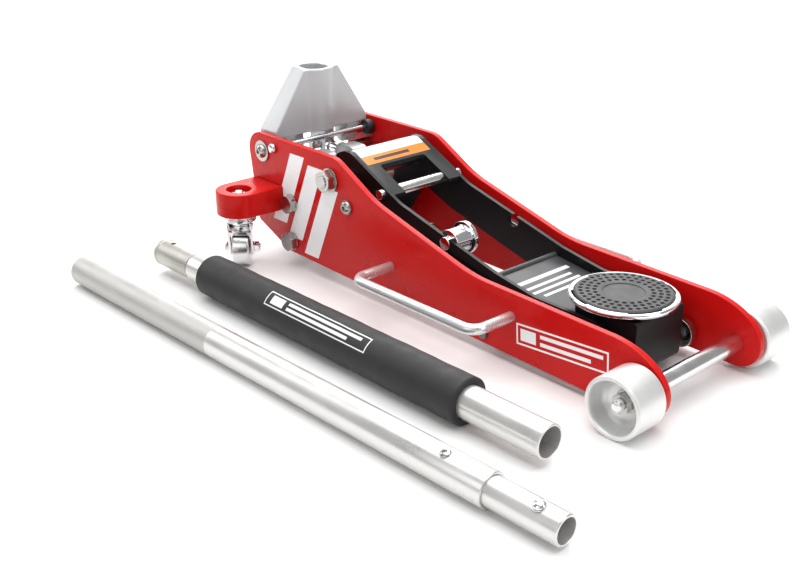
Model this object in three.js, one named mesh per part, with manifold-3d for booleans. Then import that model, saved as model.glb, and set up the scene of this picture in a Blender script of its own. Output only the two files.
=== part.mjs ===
// Low-profile trolley jack with a lift-out two-piece handle lying beside it.
// Units millimetres, +X forward (front wheels, saddle), +Y to the left, +Z up.
// Everything is drawn with the front axle at x = 0 and the floor at z = 0; the last
// lines move the whole object so that its origin is the middle of its footprint.
import * as THREE from "three";
import { mergeVertices } from "three/addons/utils/BufferGeometryUtils.js";
import Module from "manifold-3d";

const wasm = await Module();
wasm.setup();

// Driving dimensions.
const gap = 0.35; // clearance between pieces that touch
const plateOut = 90; // outer face of a side plate
const plateIn = 81.5; // inner face of a side plate
const wheelR = 34; // front wheel radius
const wheelIn = 92.6; // front wheel inner face
const wheelOut = 138.6; // front wheel outer face
const axleZ = wheelR;
const armPivot = [-488, 141];
const armReach = [393, -84]; // from the arm pivot to the saddle bracket pivot
const linkOffset = [33, -28]; // from the arm pivot to the levelling link pivot
const armOut = 62; // outer face of the lift arm
const armSheet = 5;
const ramLever = [-43.9, -94.1]; // from the arm pivot to the ram pin
const socketPivot = [-631, 148];
const socketTop = 250;
const boreR = 19.6; // handle bore of the socket
const saddleX = -94.5;
const saddleR = 60.8;
const saddleTop = 87.3;
const padTop = 89;
const casterX = -618.5;
const casterY = 140;
const earTop = 108.5;
const earBottom = 76;
const earR = 30.6;
const wellFloor = 95; // seat of the stem's nut inside the ear
const casterWheelR = 25;
const casterTrail = 5;
const casterYaw = THREE.MathUtils.degToRad(137.5);
const tubeR = 18.5; // both handle sections
const foamR = 26.5;
const slotHalf = 10; // half the width of the crosshead slot that the ram pin rises in
const saddlePivot = [armPivot[0] + armReach[0], armPivot[1] + armReach[1]];
const linkRear = [armPivot[0] + linkOffset[0], armPivot[1] + linkOffset[1]];
const linkFront = [saddlePivot[0] + linkOffset[0], saddlePivot[1] + linkOffset[1]];
const ramPin = [armPivot[0] + ramLever[0], armPivot[1] + ramLever[1]];
const boltX = -570; // bolts that hold the power unit
const boltZ = [36.5, 89.5];
const grabX = [-374, -177];
const grabZ = 58;
const stopRod = [-606, 157];
const spacerAt = [-612, 132];
const tieAt = [-217, 24];
const crossBarAt = [-419, 133.5];
const anchorAt = [-309, 99]; // front hook of the return spring
const socketBottom = 165;
const pumpY = 27;
const pumpZ = 132;
const noseAt = [-9, -16]; // centre of the socket's round noses, from its pivot

// Solid helpers.
function solid(geometry) {
  const bare = geometry.index ? geometry.toNonIndexed() : geometry.clone();
  bare.deleteAttribute("normal");
  bare.deleteAttribute("uv");
  const merged = mergeVertices(bare, 1e-4);
  return new wasm.Manifold(
    new wasm.Mesh({
      numProp: 3,
      vertProperties: merged.attributes.position.array,
      triVerts: new Uint32Array(merged.index.array),
    }),
  );
}

function surface(manifold) {
  const mesh = manifold.getMesh();
  const geometry = new THREE.BufferGeometry();
  const positions = new THREE.BufferAttribute(new Float32Array(mesh.vertProperties), 3);
  geometry.setAttribute("position", positions);
  geometry.setIndex(new THREE.BufferAttribute(new Uint32Array(mesh.triVerts), 1));
  const flat = geometry.toNonIndexed();
  flat.computeVertexNormals();
  return flat;
}

function join(first, ...rest) {
  return surface(rest.reduce((sum, g) => sum.add(solid(g)), solid(first)));
}

function cut(first, ...rest) {
  return surface(rest.reduce((sum, g) => sum.subtract(solid(g)), solid(first)));
}

// Outline helpers: every outline is a list of points.
function arc(cx, cy, r, a0, a1, n) {
  return Array.from({ length: n + 1 }, (_, i) => {
    const a = a0 + ((a1 - a0) * i) / n;
    return new THREE.Vector2(cx + r * Math.cos(a), cy + r * Math.sin(a));
  });
}

function circle(cx, cy, r, n = 14) {
  return arc(cx, cy, r, 0, 2 * Math.PI, n).slice(0, n);
}

// A polygon whose corners [x, y, radius] are rounded.
function filleted(corners) {
  const count = corners.length;
  return corners.flatMap(([x, y, r], i) => {
    const here = new THREE.Vector2(x, y);
    if (!r) return [here];
    const before = corners[(i + count - 1) % count];
    const after = corners[(i + 1) % count];
    const a = new THREE.Vector2(before[0] - x, before[1] - y).normalize();
    const b = new THREE.Vector2(after[0] - x, after[1] - y).normalize();
    const half = Math.acos(a.dot(b)) / 2;
    const centre = a.clone().add(b).normalize().multiplyScalar(r / Math.sin(half)).add(here);
    const start = a.clone().multiplyScalar(r / Math.tan(half)).add(here).sub(centre);
    const turn = (Math.PI - 2 * half) * (a.cross(b) > 0 ? -1 : 1);
    const steps = Math.max(2, Math.ceil(Math.abs(turn) / 0.4));
    return arc(centre.x, centre.y, r, start.angle(), start.angle() + turn, steps);
  });
}

// The outline of a bar with a round end of its own radius round each of two points.
function linkOutline([x1, y1, r1], [x2, y2, r2]) {
  const along = Math.atan2(y2 - y1, x2 - x1);
  const lean = Math.acos((r1 - r2) / Math.hypot(x2 - x1, y2 - y1));
  const back = arc(x1, y1, r1, along + lean, along + 2 * Math.PI - lean, 12);
  return [...back, ...arc(x2, y2, r2, along - lean, along + lean, 10)];
}

function hexagon(cx, cy, acrossFlats) {
  return circle(cx, cy, acrossFlats / Math.sqrt(3), 6);
}

function flatShape(points, holes = []) {
  const shape = new THREE.Shape(points);
  shape.holes = holes.map((hole) => new THREE.Path(hole));
  return shape;
}

// Slabs: an outline given a thickness along one axis.
function slabZ(points, z0, z1, holes) {
  const options = { depth: z1 - z0, bevelEnabled: false };
  return new THREE.ExtrudeGeometry(flatShape(points, holes), options).translate(0, 0, z0);
}

function slabY(points, y0, y1, holes) {
  return slabZ(points, 0, y1 - y0, holes).rotateX(Math.PI / 2).translate(0, y1, 0);
}

function slabX(points, x0, x1, holes) {
  const turn = new THREE.Matrix4().makeBasis(
    new THREE.Vector3(0, 1, 0),
    new THREE.Vector3(0, 0, 1),
    new THREE.Vector3(1, 0, 0),
  );
  return slabZ(points, x0, x1, holes).applyMatrix4(turn);
}

function block(x0, x1, y0, y1, z0, z1) {
  const geometry = new THREE.BoxGeometry(x1 - x0, y1 - y0, z1 - z0);
  return geometry.translate((x0 + x1) / 2, (y0 + y1) / 2, (z0 + z1) / 2);
}

// Round bars and turned pieces; a turned profile is a list of [radius, height].
function rodY(x, z, r, y0, y1, n = 14) {
  return new THREE.CylinderGeometry(r, r, y1 - y0, n).translate(x, (y0 + y1) / 2, z);
}

function rodX(y, z, r, x0, x1, n = 14) {
  const bar = new THREE.CylinderGeometry(r, r, x1 - x0, n).rotateZ(-Math.PI / 2);
  return bar.translate((x0 + x1) / 2, y, z);
}

function rodZ(x, y, r, z0, z1, n = 14) {
  const bar = new THREE.CylinderGeometry(r, r, z1 - z0, n).rotateX(Math.PI / 2);
  return bar.translate(x, y, (z0 + z1) / 2);
}

function turnedY(profile, n = 20) {
  return new THREE.LatheGeometry(profile.map(([r, h]) => new THREE.Vector2(r, h)), n);
}

function turnedZ(profile, n = 20) {
  return turnedY(profile, n).rotateX(Math.PI / 2);
}

function turnedX(profile, n = 20) {
  return turnedY(profile, n).rotateZ(-Math.PI / 2);
}

// A round rod of radius r along a path, with closed ends.
function rodAlong(path, r, steps, n = 14) {
  const options = { steps, bevelEnabled: false, extrudePath: path };
  return new THREE.ExtrudeGeometry(flatShape(circle(0, 0, r, n)), options);
}

// A round rod of radius r mitred through the points of a flat route, with closed ends.
function rodThrough(route, r, n) {
  const rings = route.map((point, i) => {
    const before = route[Math.max(i - 1, 0)];
    const after = route[Math.min(i + 1, route.length - 1)];
    const into = point.clone().sub(before).normalize();
    const out = after.clone().sub(point).normalize();
    const along = into.add(out).normalize();
    const across = new THREE.Vector3(0, 0, 1).cross(along);
    const step = after.clone().sub(before).normalize();
    const widen = 1 / Math.max(0.9, Math.abs(step.dot(along)));
    return Array.from({ length: n }, (_, k) => {
      const a = (2 * Math.PI * k) / n;
      const offset = across.clone().multiplyScalar(r * widen * Math.cos(a));
      return point.clone().add(offset).add(new THREE.Vector3(0, 0, r * Math.sin(a)));
    });
  });
  const ends = [route[0], route[route.length - 1]];
  const points = [...rings.flat(), ...ends].flatMap((p) => [p.x, p.y, p.z]);
  const faces = [];
  for (let i = 0; i < rings.length - 1; i += 1) {
    for (let k = 0; k < n; k += 1) {
      const a = i * n + k;
      const b = i * n + ((k + 1) % n);
      faces.push(a, b, a + n, b, b + n, a + n);
    }
  }
  const last = (rings.length - 1) * n;
  for (let k = 0; k < n; k += 1) {
    faces.push(rings.length * n, (k + 1) % n, k);
    faces.push(rings.length * n + 1, last + k, last + ((k + 1) % n));
  }
  const geometry = new THREE.BufferGeometry();
  geometry.setAttribute("position", new THREE.BufferAttribute(new Float32Array(points), 3));
  geometry.setIndex(faces);
  return geometry;
}

const group = new THREE.Group();

function add(name, geometry, colour, roughness, metalness) {
  const material = new THREE.MeshStandardMaterial({ color: colour, roughness, metalness });
  const mesh = new THREE.Mesh(geometry, material);
  mesh.name = name;
  group.add(mesh);
}

const sides = [
  ["right", -1],
  ["left", 1],
];

// A slab between two distances from the middle plane, on the given side.
function sideSlab(points, side, inner, outer, holes) {
  return slabY(points, ...(side > 0 ? [inner, outer] : [-outer, -inner]), holes);
}

function sideRod(x, z, r, side, inner, outer, n) {
  return rodY(x, z, r, ...(side > 0 ? [inner, outer] : [-outer, -inner]), n);
}

// Side plate: flat top over the power unit, a long slope down, and a round nose.
function plateOutline() {
  const crown = Array.from({ length: 13 }, (_, i) => {
    const a = (Math.PI / 2) * (i / 12);
    return [-47 + 77 * Math.sin(a), 35 + 47.5 * Math.cos(a), 0];
  });
  const nose = arc(1.5, 35, 28.5, -0.17, -Math.PI / 2, 8).map((p) => [p.x, p.y, 0]);
  return filleted([
    [-578, 19.8, 20],
    [-646, 48, 9],
    [-666, 172, 25],
    [-478, 171, 40],
    [-405, 131.5, 150],
    [-240, 87, 200],
    ...crown,
    ...nose,
  ]);
}

function sidePlate(side) {
  const holes = [
    circle(0, axleZ, 7.4),
    circle(...armPivot, 8.4),
    circle(...linkRear, 5.4),
    circle(...socketPivot, 6.4),
    circle(...stopRod, 4.4, 16),
    circle(...tieAt, 4.4, 16),
    ...boltZ.map((z) => circle(boltX, z, 6.5, 12)),
    ...grabX.map((x) => circle(x, grabZ, 6.6)),
  ];
  return sideSlab(plateOutline(), side, plateIn, plateOut, holes);
}

function frontAxle() {
  const half = [
    [0, 131.4],
    [5.5, 131.4],
    [6.5, 130.4],
    [6.5, 112],
    [7, 112],
    [7, 81.2],
    [10, 81.2],
  ];
  const right = half.map(([r, y]) => [r, -y]);
  return turnedY([...right, ...half.reverse()], 18).translate(0, 0, axleZ);
}

function frontWheel(side) {
  const wheel = turnedY(
    [
      [7.5, wheelIn],
      [25, wheelIn],
      [26, wheelIn + 1],
      [32, wheelIn + 1],
      [wheelR, wheelIn + 3],
      [wheelR, wheelOut - 2],
      [wheelR - 1.6, wheelOut],
      [wheelR - 3.6, wheelOut],
      [wheelR - 4.6, wheelOut - 2],
      [28.2, wheelOut - 12],
      [25, wheelOut - 20],
      [19, wheelOut - 24.5],
      [13, wheelOut - 26],
      [7.5, wheelOut - 26],
      [7.5, wheelIn],
    ],
    26,
  );
  return (side > 0 ? wheel : wheel.rotateX(Math.PI)).translate(0, 0, axleZ);
}

function axleNut(side) {
  const y = wheelOut - 26 + gap;
  const washer = sideSlab(circle(0, axleZ, 12.5, 20), side, y, y + 2.4, [circle(0, axleZ, 6.8)]);
  const nut = sideSlab(hexagon(0, axleZ, 19), side, y + 2.2, y + 12, [circle(0, axleZ, 6.8)]);
  return join(washer, nut);
}

// Arm pivot: a cross shaft with threaded ends and a nut on each side plate.
function armPivotShaft() {
  return turnedY(
    [
      [0, -105],
      [7.2, -105],
      [8, -104],
      [8, 104],
      [7.2, 105],
      [0, 105],
    ],
    24,
  ).translate(armPivot[0], 0, armPivot[1]);
}

function armPivotNut(side) {
  const [x, z] = armPivot;
  const y = plateOut + gap;
  const hole = [circle(x, z, 8.3)];
  const washer = sideSlab(circle(x, z, 15.4, 22), side, y, y + 2.2, hole);
  return join(washer, sideSlab(hexagon(x, z, 25), side, y + 2, y + 13, hole));
}

function hexBolt(side, z) {
  const head = sideSlab(hexagon(boltX, z, 23), side, plateOut + 2.4, plateOut + 11);
  const collar = sideSlab(circle(boltX, z, 12.4, 16), side, plateOut + gap, plateOut + 2.6);
  return join(head, collar, sideRod(boltX, z, 6, side, plateIn - 18, plateOut + 1, 12));
}

function socketPivotBolt(side) {
  const [x, z] = socketPivot;
  const washer = sideSlab(circle(x, z, 14.2, 22), side, plateOut + gap, plateOut + 2.2);
  const dome = sideRod(x, z, 9.4, side, plateOut + 2, plateOut + 8.5, 18);
  const recess = sideSlab(hexagon(x, z, 6), side, plateOut + 6, plateOut + 9);
  const pin = sideRod(x, z, 6, side, 45, plateOut + 1, 14);
  return cut(join(washer, dome, pin), recess);
}

function linkPivotScrew(side) {
  const [x, z] = linkRear;
  const dome = sideRod(x, z, 9.4, side, plateOut + gap, plateOut + 7.4, 18);
  const recess = sideSlab(hexagon(x, z, 6), side, plateOut + 5, plateOut + 8);
  const shank = sideRod(x, z, 5, side, 75, plateOut + 1, 14);
  const journal = sideRod(x, z, 7, side, 64.7, 81.2, 16);
  return cut(join(dome, shank, journal), recess);
}

// Thin cross rod that stops the handle socket, with a button head outside each plate.
function stopBar() {
  const [x, z] = stopRod;
  const heads = [-1, 1].map((s) => sideRod(x, z, 6.8, s, plateOut + gap, plateOut + 6, 18));
  return join(rodY(x, z, 3.9, -plateOut - 2, plateOut + 2, 18), ...heads);
}

function rubberBumper(side) {
  const [x, z] = stopRod;
  return sideSlab(circle(x, z, 10.2, 16), side, 69, plateIn - gap, [circle(x, z, 4.4, 18)]);
}

function tieBolt() {
  const [x, z] = tieAt;
  const heads = [-1, 1].map((s) => sideRod(x, z, 7, s, plateOut + gap, plateOut + 4, 18));
  const middle = rodY(x, z, 6, -plateIn + gap, plateIn - gap, 18);
  return join(rodY(x, z, 4, -plateOut - 2, plateOut + 2, 18), middle, ...heads);
}

// Power unit: a cast block that holds the ram cylinder, with two pump towers on top.
function powerUnit() {
  const base = slabY(
    filleted([
      [-556, 25, 4],
      [-604, 25, 8],
      [-604, 100, 6],
      [-556, 104, 6],
    ]),
    -81.1,
    81.1,
  );
  const barrel = slabX(
    filleted([
      [-30, 24, 10],
      [30, 24, 10],
      [30, 74, 20],
      [-30, 74, 20],
    ]),
    -650,
    -590,
  );
  const reservoir = slabY(
    filleted([
      [-598, 60, 0],
      [-648, 60, 10],
      [-648, 109, 14],
      [-598, 109, 0],
    ]),
    -46,
    46,
  );
  const towerShape = filleted([
    [-562, 98, 0],
    [-562, 145, 12],
    [-603, 145, 12],
    [-603, 98, 0],
  ]);
  const towers = [-1, 1].map((s) => sideSlab(towerShape, s, pumpY - 12, pumpY + 12));
  const bosses = [-1, 1].map((s) => rodX(s * pumpY, pumpZ, 11, -607, -598));
  const bores = [-1, 1].map((s) => rodX(s * pumpY, pumpZ, 7.4, -612, -566));
  const threads = [-1, 1].flatMap((s) =>
    boltZ.map((z) => sideRod(boltX, z, 6.4, s, plateIn - 20, 84, 12)),
  );
  const valveBoss = rodZ(socketPivot[0], 0, 13, 104, 116);
  const valveBore = rodZ(socketPivot[0], 0, 6.4, 98, 120);
  const ramBore = rodX(0, ramPin[1], 17.4, -647, -550, 24);
  const body = join(base, barrel, reservoir, valveBoss, ...towers, ...bosses);
  return cut(body, ramBore, valveBore, ...bores, ...threads);
}

// Pump plunger: a round rod with a flat head that the socket's nose pushes.
function pumpPlunger(side) {
  const y = side * pumpY;
  return join(rodX(y, pumpZ, 7, -629, -600), rodX(y, pumpZ, 9.5, -631.65, -627.6));
}

function spacer(side) {
  const [x, z] = spacerAt;
  return sideSlab(circle(x, z, 7.5, 20), side, 47, plateIn - gap, [circle(x, z, 3.2, 14)]);
}

// Ram: the chromed rod, with a slotted crosshead for the arm's pin at its front end.
function ram() {
  const [x, z] = ramPin;
  const head = slabY(
    filleted([
      [x - 16, z - 25, 5],
      [x + 16, z - 25, 5],
      [x + 16, z + 22, 9],
      [x - 16, z + 22, 9],
    ]),
    -30,
    30,
    [
      filleted([
        [x - slotHalf, z - 20.5, slotHalf - 0.1],
        [x + slotHalf, z - 20.5, slotHalf - 0.1],
        [x + slotHalf, z + 11, slotHalf - 0.1],
        [x - slotHalf, z + 11, slotHalf - 0.1],
      ]),
    ],
  );
  return join(head, rodX(0, z, 17, -645, x - 14, 24));
}

function armRamPin() {
  return rodY(...ramPin, 9, -63.6, 63.6, 16);
}

// Lift arm: two cheeks joined by a pressed web at the rear, open over the middle.
function armOutline() {
  const [px, pz] = armPivot;
  const [sx, sz] = saddlePivot;
  const rear = arc(px, pz, 31, (112 / 180) * Math.PI, (205 / 180) * Math.PI, 10);
  const back = rear.reverse().map((p) => [p.x, p.y, 0]);
  const tip = arc(sx, sz, 17.5, (80 / 180) * Math.PI, -Math.PI / 2, 12);
  return filleted([
    ...back,
    [-482, 172.5, 12],
    [-390, 128, 60],
    [-230, 86, 40],
    [-170, 75.5, 60],
    ...tip.map((p) => [p.x, p.y, 0]),
    [-215, 33, 60],
    [-420, 88, 60],
  ]);
}

function liftArm() {
  const [px, pz] = armPivot;
  const inner = armOut - armSheet;
  const lobe = linkOutline([px, pz, 31], [...ramPin, 17]);
  const holes = [
    circle(px, pz, 8.35),
    circle(...saddlePivot, 8.35),
    circle(...crossBarAt, 6.35, 18),
    circle(...anchorAt, 8.35, 18),
  ];
  const cheeks = [-1, 1].map((s) => {
    const beam = sideSlab(armOutline(), s, inner, armOut);
    const lug = sideSlab(lobe, s, inner, armOut);
    const tools = holes.map((h) => sideSlab(h, s, inner - 1, armOut + 1));
    const ramHole = sideSlab(circle(...ramPin, 9.35), s, inner - 1, armOut + 1);
    return cut(join(beam, lug), ...tools, ramHole);
  });
  const across = slabY(armOutline(), -armOut + 1, armOut - 1);
  const hollow = slabY(armOutline(), -armOut, armOut).translate(-1.5, 0, -armSheet);
  const keep = block(-492, -404, -armOut, armOut, 130, 180);
  const web = surface(
    solid(across).subtract(solid(hollow)).intersect(solid(keep)),
  );
  const mouth = slabZ(
    filleted([
      [-452, -38, 4],
      [-396, -38, 0],
      [-396, 38, 0],
      [-452, 38, 4],
    ]),
    120,
    190,
  );
  const relief = rodY(...crossBarAt, 7.5, -armOut + armSheet, armOut - armSheet, 14);
  const through = rodY(...crossBarAt, 6.4, -armOut - 1, armOut + 1, 14);
  return cut(join(...cheeks, web), mouth, relief, through);
}

function crossBar() {
  const [x, z] = crossBarAt;
  const ends = [-1, 1].map((s) => sideRod(x, z, 6, s, 50, 69, 14));
  return join(rodY(x, z, 7, -armOut + armSheet + gap, armOut - armSheet - gap, 16), ...ends);
}

// Sloping plate near the front of the arm, with a rolled rear edge.
function webPlate() {
  const half = armOut - armSheet - gap;
  const sheet = slabY(
    filleted([
      [-240, 70, 0],
      [-136, 56, 0],
      [-135.4, 60.5, 0],
      [-239.5, 75, 0],
    ]),
    -half,
    half,
  );
  return join(sheet, rodY(-239, 74, 4.2, -half, half, 16));
}

// Flanged stub on the right cheek that holds the front hook of the return spring.
function springAnchor() {
  const [x, z] = anchorAt;
  const body = sideRod(x, z, 15.5, -1, 31, armOut - armSheet - gap, 20);
  const flange = sideRod(x, z, 20, -1, 26, 32, 22);
  const neck = sideRod(x, z, 8, -1, 50, armOut + 1.8, 20);
  return join(body, flange, neck);
}

function returnSpring() {
  const coil = new THREE.Curve();
  const turns = 10;
  const start = -462;
  const end = -352;
  const z0 = 92;
  coil.getPoint = (t, target = new THREE.Vector3()) => {
    const a = 2 * Math.PI * turns * t;
    const ease = Math.min(1, 12 * t, 12 * (1 - t));
    const r = 11.5 * (0.25 + 0.75 * ease);
    const x = start + (end - start) * t;
    return target.set(x, -38 + r * Math.cos(a), z0 + r * Math.sin(a));
  };
  const hook = new THREE.LineCurve3(
    new THREE.Vector3(-356, -38, z0),
    new THREE.Vector3(-330.5, -38, z0 + 3),
  );
  const wire = rodAlong(coil, 1.9, turns * 9, 4);
  return join(wire, rodAlong(hook, 2.4, 2, 8), rodX(-38, z0, 4, -360, -350, 10));
}

function saddlePivotPin() {
  return rodY(...saddlePivot, 8, -63.8, 63.8, 14);
}

function linkPin() {
  const [x, z] = linkFront;
  const washers = [-1, 1].map((s) => sideRod(x, z, 15, s, 75, 76.8, 20));
  const heads = [-1, 1].map((s) => sideSlab(hexagon(x, z, 17), s, 76.6, 80.6));
  return join(rodY(x, z, 7, -77, 77, 14), ...washers, ...heads);
}

// Saddle bracket: a cast box that stays level, carried between the arm's cheeks.
function saddleBracket() {
  const shell = slabY(
    filleted([
      [-45, 14, 8],
      [-45, 78, 3],
      [-127, 78, 3],
      [-127, 62, 16],
      [-98, 40, 20],
      [-80, 14, 10],
    ]),
    -42,
    42,
  );
  const under = slabY(
    filleted([
      [-57, 4, 0],
      [-57, 46, 4],
      [-76, 46, 4],
      [-90, 4, 0],
    ]),
    -22,
    22,
  );
  const [bx, bz] = saddlePivot;
  const [lx, lz] = linkFront;
  const hubs = [-1, 1].flatMap((s) => [
    sideRod(bx, bz, 14, s, 40, armOut - armSheet - gap, 18),
    sideRod(lx, lz, 12, s, 40, 56, 16),
  ]);
  const pinHole = rodY(bx, bz, 8.35, -60, 60, 14);
  const linkHole = rodY(lx, lz, 7.35, -60, 60, 14);
  const stemHole = rodZ(saddleX, 0, 14.4, 67.5, 80);
  return cut(join(shell, ...hubs), under, pinHole, linkHole, stemHole);
}

function saddleCup() {
  return turnedZ(
    [
      [0, 68],
      [14, 68],
      [14, 78.35],
      [45, 78.35],
      [56, 79.2],
      [59.4, 80.6],
      [saddleR, 84],
      [saddleR, saddleTop - 1],
      [saddleR - 1, saddleTop],
      [saddleR - 4.6, saddleTop],
      [saddleR - 5.6, saddleTop - 1],
      [saddleR - 5.8, 82],
      [0, 82],
    ],
    32,
  ).translate(saddleX, 0, 0);
}

function saddlePad() {
  return turnedZ(
    [
      [0, 82 + gap],
      [54.6, 82 + gap],
      [54.6, 87.2],
      [52.6, padTop],
      [24, padTop],
      [23.4, padTop - 1.2],
      [0, padTop - 1.2],
    ],
    32,
  ).translate(saddleX, 0, 0);
}

function levellingLink(side) {
  const [fx, fz] = linkFront;
  const [rx, rz] = linkRear;
  const dx = fx - rx;
  const dz = fz - rz;
  const long = Math.hypot(dx, dz);
  const eyes = [
    [fx, fz, 17, 7.4],
    [rx, rz, 14, 7.4],
  ].map(([x, z, r, hole]) => [circle(x, z, r, 22), circle(x, z, hole)]);
  const nx = (-dz / long) * 9;
  const nz = (dx / long) * 9;
  const bar = [
    new THREE.Vector2(rx + nx, rz + nz),
    new THREE.Vector2(rx - nx, rz - nz),
    new THREE.Vector2(fx - nx, fz - nz),
    new THREE.Vector2(fx + nx, fz + nz),
  ];
  const body = join(
    sideSlab(bar, side, 64.6, 74.4),
    ...eyes.map(([outline]) => sideSlab(outline, side, 64.6, 74.4)),
  );
  return cut(body, ...eyes.map(([, hole]) => sideSlab(hole, side, 60, 80)));
}

// Handle socket: a casting that narrows to a round bore, on two legs with pivot holes.
function handleSocket() {
  const [x, z] = socketPivot;
  const ends = [
    [x + 18, 29],
    [x - 18, 22],
  ];
  const corners = ends.flatMap(([at, topHalf]) =>
    [-1, 1].flatMap((s) => [
      [at, s * 79.4, socketBottom],
      [at, s * 79.4, 174],
      [at, s * topHalf, socketTop],
    ]),
  );
  const casting = surface(wasm.Manifold.hull(corners));
  const legs = [-1, 1].map((s) =>
    sideSlab(linkOutline([x, 166, 17], [x, z, 12.5]), s, 46.4, 66),
  );
  const tube = rodZ(x, 0, 27.5, socketBottom, socketTop, 28);
  const lugShape = linkOutline([x - 9, 170, 8.5], [x + noseAt[0], z + noseAt[1], 8]);
  const lugs = [-1, 1].map((s) => sideSlab(lugShape, s, pumpY - 8, pumpY + 8));
  const bore = rodZ(x, 0, boreR, 150, socketTop + 5, 28);
  const pivots = [-1, 1].map((s) => sideRod(x, z, 6.4, s, 40, 70, 20));
  return cut(join(casting, tube, ...legs, ...lugs), bore, ...pivots);
}

// Release joint: a screw in the power unit with a forked knuckle and a flat tang.
function releaseJoint() {
  const x = socketPivot[0];
  const screw = rodZ(x, 0, 6, 100, 122, 20);
  const collar = rodZ(x, 0, 8.5, 120, 131, 24);
  const knuckle = rodY(x, 139, 5.5, -8.5, 8.5, 20);
  const forks = [-1, 1].map((s) => block(x - 5, x + 5, s * 7 - 1.8, s * 7 + 1.8, 129, 144));
  const stem = rodZ(x, 0, 4.5, 136, 150, 18);
  const tang = block(x - 2, x + 2, -7, 7, 148, 159);
  return join(screw, collar, knuckle, ...forks, stem, tang);
}

// Casters: an ear on each side plate, a chromed swivel fork, a wheel and its axle.
function casterEar(side) {
  const ring = arc(casterX, side * casterY, earR, 0, side * Math.PI, 20);
  const root = side * (plateOut + gap);
  const outline = [
    ...ring,
    new THREE.Vector2(casterX - earR, root),
    new THREE.Vector2(casterX + earR, root),
  ];
  const body = slabZ(outline, earBottom, earTop);
  const well = rodZ(casterX, side * casterY, 16.5, wellFloor, earTop + 5, 24);
  const hole = rodZ(casterX, side * casterY, 8.4, earBottom - 5, wellFloor + 4, 24);
  return cut(body, well, hole);
}

function placeCaster(geometry, side) {
  return geometry.rotateZ(casterYaw).translate(casterX, side * casterY, 0);
}

function casterFork(side) {
  const race = turnedZ(
    [
      [0, 62],
      [17, 62],
      [21, 66],
      [21, 70],
      [19.6, 70.6],
      [19.6, 71.6],
      [21, 72.2],
      [21, earBottom - 1],
      [20, earBottom - gap],
      [8, earBottom - gap],
      [8, wellFloor + 0.5],
      [9.6, wellFloor + 0.5],
      [9.6, 103.5],
      [7, 103.5],
      [6, 105.5],
      [0, 105.5],
    ],
    16,
  );
  const legShape = filleted([
    [-15, 66, 3],
    [casterTrail - 10, 15, 9],
    [casterTrail + 10, 15, 9],
    [17, 66, 3],
  ]);
  const holes = [circle(casterTrail, casterWheelR, 5.4, 18)];
  const legs = [slabY(legShape, 13.3, 16.6, holes), slabY(legShape, -16.6, -13.3, holes)];
  return placeCaster(join(race, ...legs), side);
}

function casterWheel(side) {
  const wheel = turnedY(
    [
      [5.4, -12.4],
      [12, -12.4],
      [13, -11.4],
      [22, -11.4],
      [casterWheelR, -9],
      [casterWheelR, 9],
      [22, 11.4],
      [13, 11.4],
      [12, 12.4],
      [5.4, 12.4],
      [5.4, -12.4],
    ],
    22,
  ).translate(casterTrail, 0, casterWheelR);
  return placeCaster(wheel, side);
}

function casterAxle(side) {
  const hex = hexagon(casterTrail, casterWheelR, 13);
  const head = slabY(hex, 16.6 + gap, 23);
  const nut = slabY(hex, -23, -16.6 - gap);
  const shank = rodY(casterTrail, casterWheelR, 5, -25, 18, 18);
  return placeCaster(join(head, nut, shank), side);
}

// Carrying handle: a bent rod whose two ends sit in the side plate.
function grabHandle(side) {
  const reach = 149;
  const bend = 16;
  const root = plateIn + 1.5;
  const [x0, x1] = grabX;
  const route = [
    new THREE.Vector2(x0, root),
    ...arc(x0 + bend, reach - bend, bend, Math.PI, Math.PI / 2, 5),
    ...arc(x1 - bend, reach - bend, bend, Math.PI / 2, 0, 5),
    new THREE.Vector2(x1, root),
  ].map((p) => new THREE.Vector3(p.x, side * p.y, grabZ));
  return rodThrough(route, 6.2, 12);
}

// Handle sections, drawn along X and then laid on the floor.
function layDown(geometry, x, y, z, yaw) {
  return geometry.rotateZ(yaw).translate(x, y, z);
}

const lowerYaw = THREE.MathUtils.degToRad(0.55);
const lowerMid = [-341, -223];
const upperYaw = THREE.MathUtils.degToRad(1.54);
const upperMid = [-314, -318.5];
const lowerEnds = [-255, 333.5];
const foamEnds = [-221, 229];
const upperEnds = [-394, 318];
const rivetX = 265.5;
const buttonX = 374;

const plugRoll = THREE.MathUtils.degToRad(18); // the button and rivet lean to the right

function lowerTube() {
  return turnedX(
    [
      [tubeR - 2.5, lowerEnds[0]],
      [tubeR - 0.6, lowerEnds[0]],
      [tubeR, lowerEnds[0] + 0.8],
      [tubeR, lowerEnds[1] - 1],
      [tubeR - 1, lowerEnds[1]],
      [tubeR - 2.5, lowerEnds[1]],
      [tubeR - 2.5, lowerEnds[0]],
    ],
    28,
  );
}

// Plug of the lower section: it enters the socket, and its neck is fixed in the tube.
function lowerInsert() {
  const [neck, inner] = [tubeR - 2.5 - gap, tubeR - 5.5];
  const [start, shoulder] = [-332, lowerEnds[0] - 2];
  const body = turnedX(
    [
      [inner, start],
      [tubeR - 1.6, start],
      [tubeR - 0.4, start + 1.2],
      [tubeR - 0.4, start + 5],
      [tubeR - 1.2, start + 5.8],
      [tubeR - 1.2, start + 8],
      [tubeR - 0.7, start + 8.6],
      [tubeR - 0.7, shoulder],
      [neck, shoulder],
      [neck, shoulder + 52],
      [inner, shoulder + 52],
      [inner, start],
    ],
    28,
  );
  return cut(body, rodZ(-308.5, 0, 3.4, 0, 30, 14));
}

function foamSleeve() {
  return turnedX(
    [
      [tubeR + gap, foamEnds[0]],
      [foamR - 2.5, foamEnds[0]],
      [foamR, foamEnds[0] + 2.5],
      [foamR, foamEnds[1] - 2.5],
      [foamR - 2.5, foamEnds[1]],
      [tubeR + gap, foamEnds[1]],
      [tubeR + gap, foamEnds[0]],
    ],
    28,
  );
}

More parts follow.
